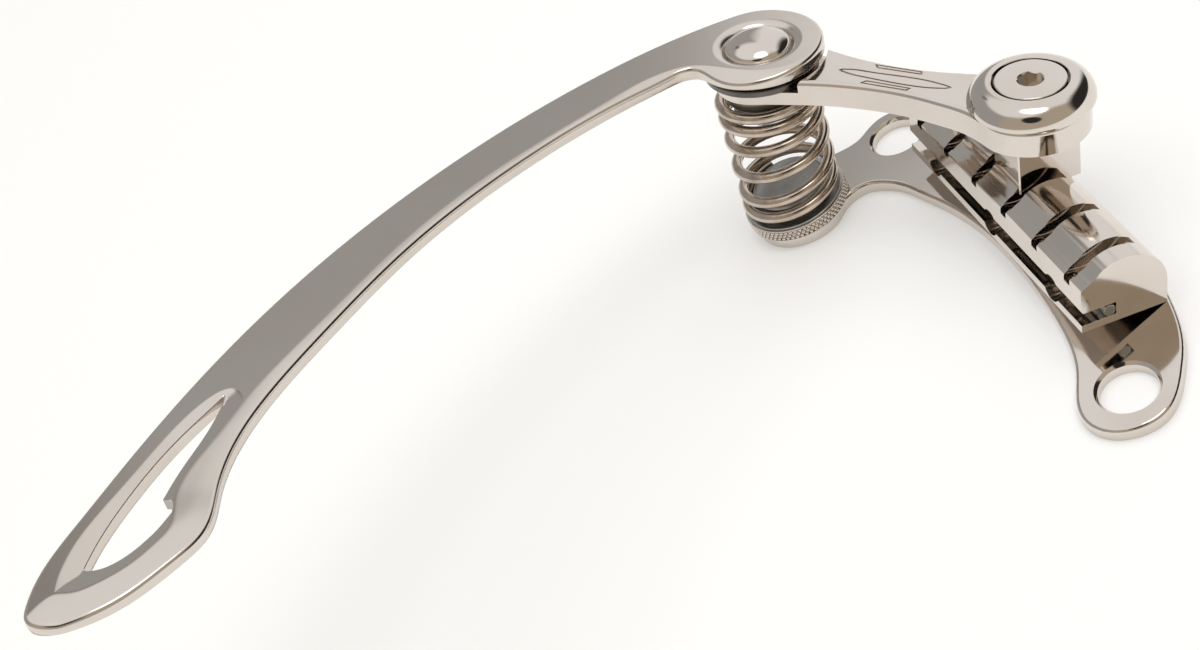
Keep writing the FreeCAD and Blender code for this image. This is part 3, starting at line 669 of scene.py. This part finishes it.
def makeArmMesh():
    topLoop = insetLoop(armOutline, arm["edge"])
    windowLoop = leftTurning(armWindow)[::-1]
    windowTop = insetLoop(windowLoop, arm["windowEdge"])
    dish = [circleLine(pivotPlace, radius, arm["roundSteps"])
            for radius in np.linspace(arm["dishInner"], arm["dishOuter"], arm["dishRings"])]
    rims = (topLoop + topLoop[:1], windowTop + windowTop[:1])

    def onFace(points, fromRim, fromDish):
        fits = insideLoop(points, topLoop) & ~insideLoop(points, windowTop)
        for rim in rims:
            fits &= distanceTo(points, rim) > fromRim
        return fits & (pivotDistance(points) > arm["dishOuter"] + fromDish)

    x0, y0 = np.min(topLoop, axis=0)
    x1, y1 = np.max(topLoop, axis=0)
    step, rowShare = net["grid"], net["rowShare"]
    grid = np.array([(x0 + step * (i + 0.5 * (j % 2)), y0 + step * rowShare * j)
                     for j in range(int((y1 - y0) / step / rowShare)) for i in range(int((x1 - x0) / step))])
    keep = onFace(grid, net["gridFromRim"], net["gridFromDish"])
    spots, edges = [], []
    for line in [topLoop, windowTop] + dish:
        addLoop(spots, edges, line)
    held = np.array(spots)
    for ridge, guides in ((innerRidgeLine, net["guides"]), (windowRidgeLine, net["guides"]),
                          (tailValley[:-1], net["valleyGuides"])):
        for distance in (0.0,) + guides:
            line = np.array(besideLine(ridge, distance))
            fits = onFace(line, net["guideFromRim"], net["guideFromDish"])
            fits &= distanceTo(line, ridge) >= abs(distance) - net["guideSlack"]
            if distance:
                gaps = np.linalg.norm(line[:, None] - held[None, :, :], axis=2)
                fits &= gaps.min(axis=1) > net["guideFromGuide"]
            kept = np.flatnonzero(fits)
            first = len(spots)
            spots += [tuple(line[i]) for i in kept]
            edges += [(first + k, first + k + 1) for k, (i, j) in enumerate(zip(kept, kept[1:]))
                      if j == i + 1 and math.dist(line[i], line[j]) < net["longest"]]
        held = np.array(spots)
        keep &= distanceTo(grid, ridge) > max(guides) + net["gridFromGuides"]
    spots += [tuple(p) for p in grid[keep]]
    shape = bmesh.new()
    fillPlan(shape, spots, edges, [topLoop, windowTop, dish[0]], armTop)
    addSkirt(shape, armOutline, arm["edge"], topLoop)
    addSkirt(shape, windowLoop, arm["windowEdge"], windowTop)
    addBore(shape)
    dropLoose(shape)
    underLoops = [insetLoop(armOutline, arm["lowerEdge"]), insetLoop(windowLoop, arm["lowerEdge"]),
                  circleLine(pivotPlace, arm["bore"], arm["roundSteps"])]
    spots, edges = [], []
    for line in underLoops:
        addLoop(spots, edges, line)
    fillPlan(shape, spots, edges, underLoops, lambda flat: np.full(len(flat), arm["low"]))
    dropLoose(shape)
    bmesh.ops.recalc_face_normals(shape, faces=shape.faces)
    return meshFrom(shape, "armBlade")


armMesh = makeArmMesh()
keepPiece("armBlade", armMesh, "satinNickel", "arm", ["arm"], tilted=True, sharpDegrees=50,
          normals=armNormals(armMesh))
print("arm made")


# Turned pieces on the lever: the knob's ring and bolt, the washers and the arm's pivot

knob = {
    "footRadius": 9.8,
    "widest": 10.43,
    "widestHeight": 0.8,
    "shoulderRadius": 9.45,
    "shoulderHeight": 2.95,
    "lipRadius": 6.75,
    "lipHeight": 4.1,
    "bore": 6.3,
    "floor": 0.8,               # of the bore, above the lever
    "headRadius": 5.93,
    "headLow": 1.3,             # underside of the bolt's head, above the lever
    "headRound": 0.25,
    "edgeBreak": 0.1,
    "stem": 3.0,
    "stemRound": 0.4,
    "stemLow": 6.8,             # above the plate
    "socket": 4.0,              # across the flats of the hexagon
    "socketDepth": 2.2,
    "socketTurn": 12,
    "mouth": 0.5,               # half height of the socket's countersink
}


# Points of the circle through three points of a profile
def arcLine(start, middle, end, count):
    (ax, ay), (bx, by), (cx, cy) = start, middle, end
    a, b, c = ax * ax + ay * ay, bx * bx + by * by, cx * cx + cy * cy
    d = 2 * (ax * (by - cy) + bx * (cy - ay) + cx * (ay - by))
    ux = (a * (by - cy) + b * (cy - ay) + c * (ay - by)) / d
    uy = (a * (cx - bx) + b * (ax - cx) + c * (bx - ax)) / d
    turns = [math.atan2(y - uy, x - ux) for x, y in (start, middle, end)]
    radius = math.hypot(ax - ux, ay - uy)
    first, _, last = np.unwrap(turns)
    return [(ux + radius * math.cos(turn), uy + radius * math.sin(turn))
            for turn in np.linspace(first, last, count + 1)]


def makeKnobRing():
    base = assembly["leverTop"]
    top, floor, bore = base + knob["lipHeight"], base + knob["floor"], knob["bore"]
    foot = (knob["footRadius"], base)
    low = ((knob["footRadius"] + 3 * knob["widest"]) / 4, base + knob["widestHeight"] / 4)
    widest = (knob["widest"], base + knob["widestHeight"])
    shoulder = (knob["shoulderRadius"], base + knob["shoulderHeight"])
    outside = arcLine(foot, low, widest, 5)[:-1] + arcLine(widest, shoulder, (knob["lipRadius"], top), 22)
    inside = [(bore + knob["edgeBreak"], top), (bore, top - knob["edgeBreak"]), (bore, floor),
              (assembly["clampHole"], floor), (assembly["clampHole"], base)]
    return turnedMesh("knobRing", outside + inside, knobPlace, 128)


def makeClampBolt():
    base = assembly["leverTop"]
    top, under = base + knob["lipHeight"], base + knob["headLow"]
    low = assembly["plateTop"] + knob["stemLow"]
    stem, head = knob["stem"], knob["headRadius"]
    profile = [(0, low, 0), (stem, low, knob["stemRound"]), (stem, under, 0),
               (head, under, knob["edgeBreak"]), (head, top, knob["headRound"]), (0, top, 0)]
    bolt = turnedMesh("clampBolt", softCorners(profile), knobPlace, 96, False)
    hexagon = circleLine(knobPlace, knob["socket"] / math.sqrt(3), 6, knob["socketTurn"])
    socket = prismMesh("socket", hexagon, top - knob["socketDepth"], top + 1)
    mouth = knob["mouth"]
    narrow = (knob["socket"] - mouth) / 2
    flare = [(0, top - mouth), (narrow, top - mouth), (narrow + 2 * mouth, top + mouth), (0, top + mouth)]
    return carved(bolt, [socket, turnedMesh("socketMouth", flare, knobPlace, 48, False)])


keepPiece("knobRing", makeKnobRing(), "platedNickel", "tilt", ["knob_ring"], tilted=True)
keepPiece("clampBolt", makeClampBolt(), "platedNickel", "tilt", ["clamp_bolt"], tilted=True)

pivot = {
    "headRadius": 5.9,
    "headLow": 27.95,
    "dome": ((5.9, 0.5), (5.72, 0.95), (5.1, 1.5), (3.9, 2.1), (2.2, 2.5), (0, 2.6)),  # radius and height
    "stem": 3.5,
    "tip": 15.0,
    "tipRound": 0.4,
    "edgeBreak": 0.1,
    "washerRound": 0.25,
    "lowerRadius": 10.3,        # hard washer in the lever's seat
    "lowerZ": (24.1, 25.3),
    "waveRadius": 9.2,          # spring washer under the arm
    "waveZ": (25.35, 26.45),
    "waveCone": 0.25,
}


def makePivotBolt():
    base, side, stem, tip = pivot["headLow"], pivot["headRadius"], pivot["stem"], pivot["tip"]
    tipRound, edgeBreak = pivot["tipRound"], pivot["edgeBreak"]
    dome = smoothLine([(radius, base + height) for radius, height in pivot["dome"]], 0.3)
    profile = [(0, tip), (stem - tipRound, tip), (stem, tip + tipRound), (stem, base),
               (side - edgeBreak, base), (side, base + edgeBreak)] + dome[:-1] + [(0, dome[-1][1])]
    return turnedMesh("pivotBolt", profile, pivotPlace, 96, False)


def makeWasher(name, outer, low, high, cone=0.0):
    inner, edgeBreak, soft = assembly["pivotHole"], pivot["edgeBreak"], pivot["washerRound"]
    profile = [(inner, low + cone, edgeBreak), (outer, low, soft), (outer, high - cone, soft),
               (inner, high, edgeBreak)]
    return turnedMesh(name, softCorners(profile), pivotPlace, 96)


seatWasher = makeWasher("seatWasher", pivot["lowerRadius"], *pivot["lowerZ"])
frictionWasher = makeWasher("frictionWasher", pivot["waveRadius"], *pivot["waveZ"], pivot["waveCone"])
keepPiece("pivotBolt", makePivotBolt(), "platedNickel", "tilt", ["arm_pivot_bolt"], tilted=True)
# both washers are dark grey as painted shade in the gap between the lever and the arm
keepPiece("seatWasher", seatWasher, "paintedShadeSteel", "tilt", ["arm_lower_washer"], tilted=True)
keepPiece("frictionWasher", frictionWasher, "paintedShadeSteel", "tilt", ["arm_wave_washer"], tilted=True)
print("knob, pivot and washers made")


# Lever: a flat bar with a waist between the knob's eye and the seat of the arm

lever = {
    "eyeRadius": 9.6,
    "endRadius": 8.6,
    "waist": 3.9,
    # share of the span along, share of the waist across
    "sides": ((0.205, 1.44), (0.274, 1.26), (0.364, 1.08), (0.442, 1.00), (0.528, 1.00), (0.607, 1.08),
              (0.705, 1.26), (0.800, 1.54)),
    "eyeLeave": 52.0,
    "endLeave": 65.0,
    "rim": 0.85,
    "seatRadius": 12.2,
    "seatZ": 24.1,
    "stripeDepth": 0.35,
    "stripeWidth": 0.4,
    "softEdge": 0.16,
}
# engraved marks, in mm along the lever from the knob and across it
longMark = [(14.0, 0.2), (16.5, -0.6), (19.5, -0.95), (24.0, -0.95), (30.0, -0.75), (34.0, -0.45),
            (35.2, 0.15), (34.0, 0.8), (30.0, 1.35), (24.0, 1.65), (19.5, 1.6), (16.5, 1.2)]
shortMarks = [[(20.9, 3.15), (20.4, 2.1), (28.9, 1.95), (29.8, 3.05)],
              [(20.4, -2.1), (20.9, -3.15), (29.8, -3.05), (28.9, -1.95)]]


def onLever(points):
    way = leverWay
    return [(knobPlace[0] + way.x * along - way.y * across, way.y * along + way.x * across)
            for along, across in points]


def makeLever():
    span, waist, turn = assembly["leverSpan"], lever["waist"], assembly["leverDegrees"]
    high, low = assembly["leverTop"], assembly["leverBottom"]
    near = onLever([(span * along, -waist * across) for along, across in lever["sides"]])
    far = onLever([(span * along, waist * across) for along, across in reversed(lever["sides"])])
    endSweep = 2 * (180 - lever["endLeave"])
    eyeSweep = 360 - 2 * lever["eyeLeave"]
    end = circleLine(pivotPlace, lever["endRadius"], 10, turn - endSweep / 2, endSweep)
    eye = circleLine(knobPlace, lever["eyeRadius"], 11, turn + lever["eyeLeave"], eyeSweep)
    outline = leftTurning(smoothLine(near + end + far + eye, 0.6, True))
    body = prismMesh("lever", outline, low, high, lever["rim"])
    # name, place, radius, steps and floor of each round cut
    rounds = (("seat", pivotPlace, lever["seatRadius"], 128, lever["seatZ"]),
              ("clampHole", knobPlace, assembly["clampHole"], 48, low - 2),
              ("pivotHole", pivotPlace, assembly["pivotHole"], 48, low - 2))
    cutters = [prismMesh(name, circleLine(place, radius, steps), floor, high + 2)
               for name, place, radius, steps, floor in rounds]
    for mark in (longMark, *shortMarks):
        outer = leftTurning(onLever(mark))
        inner = insetLoop(outer, lever["stripeWidth"])
        if mark is longMark:
            outer, inner = smoothLine(outer, 0.5, True), smoothLine(inner, 0.5, True)
        island = prismMesh("island", inner, low, high + 3)
        cutters.append(carved(prismMesh("mark", outer, high - lever["stripeDepth"], high + 2), [island]))
    return softened(carved(body, cutters), lever["softEdge"], 34)


keepPiece("lever", makeLever(), "platedNickel", "tilt", ["lever"], tilted=True)
print("lever made")


# String bar: one profile along its length, with the string grooves sawn across it

bar = {
    "length": 60.8,
    "depth": 15.1,
    "height": 12.0,
    "crownRadius": 7.5,
    "crownEnd": 33.0,           # degrees from the top to where the sloping face starts
    "lip": (1.5, 9.28),         # where the face turns flatter, from the front and from the base
    "slopeSag": 0.2,            # how far the sloping face dips at its middle
    "lipStep": 0.07,
    "noseHeight": 8.4,
    "nose": 0.6,
    "slotFloor": 1.4,
    "slotHeight": 2.4,
    "slotDepth": 6.06,
    "grooveWidth": 2.2,
    "innerWidth": 1.75,         # the saw cut is narrower below a small ledge
    "grooveRadius": 10.35,
    "ledge": 1.75,
    "grooveSetback": 11.92,
    "grooveHeight": 17.07,
    "pitch": 10.4,
    "notchRadius": 2.4,
    "notchDepth": 3.4,
    "notchPitch": 20.8,
    "pedestal": (11.4, 8.8, 9.5),   # how far forward, how wide, and the height of its foot
    "knifePocket": (2.23, 53.06, 1.63),
    "stringHole": (12.9, 0.75, 2.0),    # from the back, radius, and floor above the base
    "screwHole": (4.95, 1.03, 1.43),    # from the front, radius and depth
    "softEdge": 0.1,
}


# A straight block across the bar's middle
def blockMesh(name, start, end, wide, low, high):
    half = wide / 2
    return prismMesh(name, [(start, -half), (end, -half), (end, half), (start, half)], low, high)


# A disc that is turned about one axis and then moved, for a cut from the side
def turnedDisc(name, radius, steps, low, high, axis, place):
    mesh = prismMesh(name, circleLine((0, 0), radius, steps), low, high)
    mesh.transform(Matrix.Translation(place) @ Matrix.Rotation(math.radians(90), 4, axis))
    return mesh


def barProfile():
    back, base, radius = assembly["knifeX"], assembly["plateTop"], bar["crownRadius"]
    front = back - bar["depth"]
    crownX, crownZ = back - radius, base + bar["height"] - radius
    steps = 48
    turns = [math.radians(-90 + (90 + bar["crownEnd"]) * i / steps) for i in range(steps + 1)]
    crown = [(crownX - radius * math.sin(t), crownZ + radius * math.cos(t)) for t in turns]
    lipX, lipZ = front + bar["lip"][0], base + bar["lip"][1]
    noseZ = base + bar["noseHeight"]
    slotBack = front + bar["slotDepth"]
    slotLow = base + bar["slotFloor"]
    slotHigh = slotLow + bar["slotHeight"]
    nose = bar["nose"]
    corner = [(front + nose * (1 - math.cos(t)), slotHigh + nose * (1 - math.sin(t)))
              for t in (math.radians(90 * i / 4) for i in range(5))]
    endX, endZ = crown[-1]
    middle = (Vector(crown[-1]) + Vector((lipX, lipZ))) / 2
    inward = Vector((endZ - lipZ, lipX - endX)).normalized() * bar["slopeSag"]
    lip = [(lipX, lipZ), (lipX - 0.1, lipZ - bar["lipStep"] - 0.05), (front + 0.12, noseZ),
           (front, noseZ - 0.3)]
    slot = [(slotBack, slotHigh), (slotBack, slotLow), (front, slotLow)]
    return crown + [tuple(middle + inward)] + lip + corner + slot + [(front, base), (back, base)]


def makeBar():
    half = bar["length"] / 2
    back, base = assembly["knifeX"], assembly["plateTop"]
    front = back - bar["depth"]
    shape = bmesh.new()
    for ring in addBands(shape, [[(x, y, z) for x, z in barProfile()] for y in (-half, half)]):
        shape.faces.new(ring)
    bmesh.ops.recalc_face_normals(shape, faces=shape.faces)
    body = meshFrom(shape, "stringBar")
    centre = (back - bar["grooveSetback"], 0, base + bar["grooveHeight"])
    upper = (bar["grooveWidth"], bar["grooveRadius"] - bar["ledge"])
    lower = (bar["innerWidth"], bar["grooveRadius"])
    holeX, holeRadius, holeFloor = bar["stringHole"]
    cutters = []
    for index in range(6):
        y = (index - 2.5) * bar["pitch"]
        for width, radius in (upper, lower):
            cutters.append(turnedDisc("groove", radius, 160, -y - width / 2, -y + width / 2, "X", centre))
        hole = circleLine((back - holeX, y), holeRadius, 32)
        cutters.append(prismMesh("stringHole", hole, base + holeFloor, base + bar["height"]))
    slotMiddle = base + bar["slotFloor"] + bar["slotHeight"] / 2
    radius, depth = bar["notchRadius"], bar["notchDepth"]
    for index in range(3):
        mouth = (front, (index - 1) * bar["notchPitch"], slotMiddle)
        cutters.append(turnedDisc("notch", radius, 64, -2, depth, "Y", mouth))
    screwX, screwRadius, screwDepth = bar["screwHole"]
    for side in (-1, 1):
        hole = circleLine((front + screwX, side * bar["pitch"]), screwRadius, 32)
        cutters.append(prismMesh("screwHole", hole, base - 1, base + screwDepth))
    forward, wide, foot = bar["pedestal"]
    cutters.append(blockMesh("pedestalSeat", back - forward, back + 1, wide, base + foot, base + 20))
    deep, long, high = bar["knifePocket"]
    cutters.append(blockMesh("knifePocket", back - deep, back + 1, long, base - 1, base + high))
    return softened(carved(body, cutters), bar["softEdge"], 30)


keepPiece("stringBar", makeBar(), "platedNickel", "tilt", ["string_holder"], tilted=True, sharpDegrees=30)
print("string bar made")


# Pieces that keep the CAD solid's own shape, with their hard edges broken as polishing breaks them

plainPieces = {
    # name: CAD node, finish, body, width of the broken edges
    "basePlate": ("base_plate", "platedCasting", "base", 0.1),
    "springPost": ("spring_post", "turnedSteel", "base", 0.15),
    "knifeBearing": ("knife_bearing", "groundSteel", "base", 0.04),
    "springSeat": ("spring_seat", "turnedSteel", "seat", 0.1),
    "knifeInsert": ("knife_insert", "groundSteel", "tilt", 0.03),
    "ballEndRod": ("ball_end_rod", "groundSteel", "tilt", 0.15),
    "rodScrews": ("rod_set_screws", "turnedSteel", "tilt", 0.1),
    "pedestal": ("pedestal_block", "platedNickel", "tilt", 0.12),
    "pedestalDowels": ("pedestal_dowels", "groundSteel", "tilt", 0.1),
    "springBoss": ("spring_boss", "turnedSteel", "tilt", 0.1),
    "clampLockWasher": ("clamp_lock_washer", "turnedSteel", "tilt", 0.05),
    "armBushing": ("arm_bushing", "bearingBronze", "arm", 0.05),
    "armLockNut": ("arm_lock_nut", "turnedSteel", "tilt", 0.1),
}
for pieceName, (node, finish, body, edge) in plainPieces.items():
    keepPiece(pieceName, cadCopy(node, edge), finish, body, [node])
print("plain pieces made:", len(plainPieces))


# Spring

coil = {
    "wireRadius": 1.05,
    "wireSides": 20,
    "coilRadius": 8.6,
    "turns": 6,
    "startDegrees": 90.0,
    "endGap": 0.08,             # between the wire and what it stands on
    "steps": (0.108, 0.208, 0.233, 0.208, 0.121, 0.122),    # share of the height that each turn climbs
    "seatTop": 5.5,
    "samples": 56,              # points on each turn
}


# Share of the spring's height that is reached after so many turns, with no sudden steps
def springShare(turn):
    steps = coil["steps"]
    last = coil["turns"] - 1
    whole = min(int(turn), last)
    part = turn - whole
    slopeIn = (steps[max(whole - 1, 0)] + steps[whole]) / 2
    slopeOut = (steps[whole] + steps[min(whole + 1, last)]) / 2
    return (sum(steps[:whole]) + steps[whole] * part * part * (3 - 2 * part)
            + slopeIn * part * (1 - part) ** 2 - slopeOut * part * part * (1 - part))


def springLine():
    rise = coil["wireRadius"] + coil["endGap"]
    first = Vector((*footPlace, coil["seatTop"] + rise))
    last = atRest @ Vector((*pivotPlace, assembly["leverBottom"] - rise))
    line = []
    count = coil["turns"] * coil["samples"]
    for i in range(count + 1):
        turn = i / coil["samples"]
        share = springShare(turn)
        angle = math.radians(coil["startDegrees"]) + 2 * math.pi * turn
        spoke = Vector((math.cos(angle), math.sin(angle), 0)) * coil["coilRadius"]
        lean = Matrix.Rotation(math.radians(assembly["tiltDegrees"]) * share, 3, "Y")
        line.append(first.lerp(last, share) + lean @ spoke)
    return line, first, last


# Geometry nodes: a round wire along the spring's middle line
def wireTree():
    tree, given, sockets = startTree("coiledWire", {"Wire radius": "Float", "Sides": "Int"})
    line = addNode(tree, "GeometryNodeMeshToCurve", {}, {"Mesh": given["Geometry"]})
    ring = addNode(tree, "GeometryNodeCurvePrimitiveCircle", {},
                   {"Radius": given["Wire radius"], "Resolution": given["Sides"]})
    wire = addNode(tree, "GeometryNodeCurveToMesh", {"Fill Caps": True},
                   {"Curve": line.outputs["Curve"], "Profile Curve": ring.outputs["Curve"]})
    endTree(tree, given, wire.outputs["Mesh"])
    return tree, sockets


def makeSpring():
    line, first, last = springLine()
    mesh = bpy.data.meshes.new("springLine")
    mesh.from_pydata([tuple(p) for p in line], [(i, i + 1) for i in range(len(line) - 1)], [])
    values = {"Wire radius": coil["wireRadius"], "Sides": coil["wireSides"]}
    return grownMesh("spring", mesh, *wireTree(), "platedSpringWire", values), first, last


springMesh, springFoot, springHead = makeSpring()
spring = keepPiece("spring", springMesh, "platedSpringWire", None, ["spring"])
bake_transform(spring)
print("spring made")


# Adjuster wheel, with a band of small beads round it

wheel = {
    "bore": 3.05,
    "body": 9.5,
    "lip": 9.85,
    "low": 2.55,
    "high": 5.05,
    "lipHeight": 0.2,
    "boreRound": 0.1,
    "rimRound": 0.08,
    "lipRound": 0.04,
    "beadRing": 9.6,            # radius of the ring that the beads stand on
    "lowest": 3.13,             # height of the lowest row
    "rows": 3,
    "spacing": 0.68,            # from row to row
    "count": 66,
    "bead": 0.4,
}


def makeWheel():
    low, high, step, body, lip = [wheel[key] for key in ("low", "high", "lipHeight", "body", "lip")]
    boreRound, rimRound, lipRound = wheel["boreRound"], wheel["rimRound"], wheel["lipRound"]
    profile = [(wheel["bore"], low, boreRound), (lip, low, rimRound), (lip, low + step, lipRound),
               (body, low + step, 0), (body, high - step, 0), (lip, high - step, lipRound),
               (lip, high, rimRound), (wheel["bore"], high, boreRound)]
    return turnedMesh("adjusterWheel", softCorners(profile), footPlace, 120)


keepPiece("adjusterWheel", makeWheel(), "platedNickel", "wheel", ["adjuster_wheel"])


# Geometry nodes: rows of small beads round the wheel
def knurlTree():
    tree, given, sockets = startTree("beadRows", {
        "Ring radius": "Float", "Beads per row": "Int", "Bead radius": "Float", "Row spacing": "Float",
        "Lowest row": "Float"})
    joined = addNode(tree, "GeometryNodeJoinGeometry")
    bead = addNode(tree, "GeometryNodeMeshIcoSphere", {"Subdivisions": 2}, {"Radius": given["Bead radius"]})
    for row in range(wheel["rows"]):
        ring = addNode(tree, "GeometryNodeMeshCircle", {},
                       {"Vertices": given["Beads per row"], "Radius": given["Ring radius"]})
        level = addNode(tree, "ShaderNodeMath", {1: float(row)},
                        {0: given["Row spacing"], 2: given["Lowest row"]}, operation="MULTIPLY_ADD")
        # each row is turned by half a bead against the row below it
        half = addNode(tree, "ShaderNodeMath", {0: math.pi * row}, {1: given["Beads per row"]},
                       operation="DIVIDE")
        lift = addNode(tree, "ShaderNodeCombineXYZ", {}, {"Z": level.outputs["Value"]})
        turn = addNode(tree, "ShaderNodeCombineXYZ", {}, {"Z": half.outputs["Value"]})
        placed = addNode(tree, "GeometryNodeTransform", {},
                         {"Geometry": ring.outputs["Mesh"], "Translation": lift.outputs["Vector"],
                          "Rotation": turn.outputs["Vector"]})
        beads = addNode(tree, "GeometryNodeInstanceOnPoints", {},
                        {"Points": placed.outputs["Geometry"], "Instance": bead.outputs["Mesh"]})
        tree.links.new(beads.outputs["Instances"], joined.inputs["Geometry"])
    endTree(tree, given, joined.outputs["Geometry"])
    return tree, sockets


def makeKnurl():
    values = {"Ring radius": wheel["beadRing"], "Beads per row": wheel["count"],
              "Bead radius": wheel["bead"], "Row spacing": wheel["spacing"], "Lowest row": wheel["lowest"]}
    mesh = grownMesh("wheelKnurl", bpy.data.meshes.new("wheelKnurl"), *knurlTree(), "platedNickel", values)
    mesh.transform(Matrix.Translation((*footPlace, 0)))
    return mesh


keepPiece("wheelKnurl", makeKnurl(), "platedNickel", "wheel")
print("knurl made")


# Camera, floor and light

studio = {
    "cameraTurn": (2.19427656, -0.601398187, -0.336923188),
    "cameraShift": (68.9335705, -13.2232343, 310.250871),
    "lens": 54.0,
    "sensor": 36.0,
    "floorReach": 2.5,          # metres from the middle to each edge
    "floorColour": "#f4f3f1",
    "floorGlow": 0.3,           # so that the paper stays white behind the part
    "lampAim": (-0.06, 0, 0.02),
}


def addCamera():
    # the turn takes model axes to right, down and forward as the camera sees them
    turn = Vector(studio["cameraTurn"])
    seen = Matrix.Rotation(turn.length, 3, turn.normalized())
    place = -(seen.transposed() @ Vector(studio["cameraShift"])) + Vector((0, 0, assembly["plateTop"]))
    axes = Matrix((seen[0], -seen[1], -seen[2])).transposed()
    data = bpy.data.cameras.new("camera")
    data.lens = studio["lens"]
    data.sensor_width = studio["sensor"]
    data.clip_start = 0.01
    data.clip_end = 50.0
    camera = addObject("camera", data)
    camera.matrix_world = Matrix.Translation(place * millimetre) @ axes.to_4x4()
    bpy.context.scene.camera = camera


def addFloor():
    mesh = bpy.data.meshes.new("floor")
    reach = studio["floorReach"]
    corners = [(-reach, -reach, 0), (reach, -reach, 0), (reach, reach, 0), (-reach, reach, 0)]
    mesh.from_pydata(corners, [], [(0, 1, 2, 3)])
    material = bpy.data.materials.new("paperSweep")
    tree = emptyTree(material)
    path = addNode(tree, "ShaderNodeLightPath").outputs
    share = path["Is Camera Ray"]
    for ray in ("Is Glossy Ray", "Is Transmission Ray"):
        wider = addNode(tree, "ShaderNodeMath", {}, {0: share, 1: path[ray]}, operation="MAXIMUM")
        share = wider.outputs["Value"]
    share = addNode(tree, "ShaderNodeMath", {1: studio["floorGlow"]}, {0: share}, operation="MULTIPLY")
    paper = addNode(tree, "ShaderNodeBsdfDiffuse", {"Color": linearColour(studio["floorColour"])})
    glow = addNode(tree, "ShaderNodeEmission", {"Color": (1, 1, 1, 1), "Strength": 1.0})
    mixed = addNode(tree, "ShaderNodeMixShader", {},
                    {0: share.outputs["Value"], 1: paper.outputs["BSDF"], 2: glow.outputs["Emission"]})
    addNode(tree, "ShaderNodeOutputMaterial", {}, {"Surface": mixed.outputs["Shader"]})
    mesh.materials.append(material)
    looseObject(mesh)


lamps = {
    # name: place in metres, size in metres, power in watts, whether polished metal mirrors it
    "overhead": ((0.0, 0.1, 1.2), 2.0, 10.0, False),
    "sparkle": ((0.25, -0.12, 1.0), 0.5, 1.6, True),
}


def addLamps():
    for name, (place, size, power, mirrored) in lamps.items():
        data = bpy.data.lights.new(name, "AREA")
        data.shape = "DISK"
        data.size = size
        data.energy = power
        lamp = addObject(name, data)
        lamp.visible_glossy = mirrored
        lamp.location = place
        aim = Vector(studio["lampAim"]) - Vector(place)
        lamp.rotation_euler = aim.to_track_quat("-Z", "Y").to_euler()


room = {
    "wall": (0.4, 0.4, 0.4),            # grey wall behind
    "bright": (0.92, 0.92, 0.92),       # pale ceiling and the pale side to the right
    "front": (0.5, 0.44, 0.36),         # warm dim room in front
    "dark": (0.03, 0.027, 0.025),       # the far right and a dark stand in front
    # each limit pair: where a patch starts to show and where it is full, along its direction
    "ceilingFrom": (0.63, 0.77),
    "ceilingLean": 0.25,                # the pale ceiling reaches lower to the right
    "sideFrom": (0.33, 0.42),
    "frontFrom": (0.02, -0.3),
    "frontTop": (0.93, 0.8),
    "farSide": (0.72, 0.86),
    "shade": (0.21, 0.19, 0.18),        # a darker patch of wall, mirrored by the arm's tip
    "shadeTo": (-0.045, 0.735, 0.677),
    "shadeFrom": (0.9945, 0.9993),
    "stand": (-0.2, -0.68, 0.68),
    "standFrom": (0.955, 0.975),
}


# A plain studio round the object
def addWorld():
    world = bpy.data.worlds.new("studio")
    bpy.context.scene.world = world
    tree = emptyTree(world)
    way = addNode(tree, "ShaderNodeTexCoord").outputs["Generated"]
    split = addNode(tree, "ShaderNodeSeparateXYZ", {}, {"Vector": way}).outputs

    lean = addNode(tree, "ShaderNodeMath", {1: room["ceilingLean"]}, {0: split["X"], 2: split["Z"]},
                   operation="MULTIPLY_ADD")
    parts = [(lean.outputs["Value"], "ceilingFrom"), (split["X"], "sideFrom"), (split["Y"], "frontFrom"),
             (split["Z"], "frontTop"), (split["X"], "farSide")]
    for place, limits in (("shadeTo", "shadeFrom"), ("stand", "standFrom")):
        towards = addNode(tree, "ShaderNodeVectorMath", {1: tuple(Vector(room[place]).normalized())}, {0: way},
                          operation="DOT_PRODUCT")
        parts.append((towards.outputs["Value"], limits))
    shares = []
    for value, limits in parts:
        start, end = room[limits]
        share = addNode(tree, "ShaderNodeMapRange", {"From Min": start, "From Max": end}, {"Value": value},
                        interpolation_type="SMOOTHSTEP")
        shares.append(share.outputs["Result"])
    ceiling, side, front, top, farSide, shade, stand = shares
    bright = addNode(tree, "ShaderNodeMath", {}, {0: ceiling, 1: side}, operation="MAXIMUM").outputs["Value"]
    front = addNode(tree, "ShaderNodeMath", {}, {0: front, 1: top}, operation="MULTIPLY").outputs["Value"]
    colour = addNode(tree, "ShaderNodeRGB").outputs["Color"]
    colour.default_value = (*room["wall"], 1)
    for name, share in (("bright", bright), ("front", front), ("dark", farSide), ("shade", shade),
                        ("dark", stand)):
        layer = addNode(tree, "ShaderNodeMix", {"B": (*room[name], 1)}, {"A": colour, "Factor": share},
                        data_type="RGBA")
        colour = layer.outputs["Result"]
    back = addNode(tree, "ShaderNodeBackground", {"Strength": 1.0}, {"Color": colour})
    addNode(tree, "ShaderNodeOutputWorld", {}, {"Surface": back.outputs["Background"]})


addCamera()
addFloor()
addLamps()
addWorld()
bpy.context.scene.view_settings.view_transform = "Standard"
print("studio made")
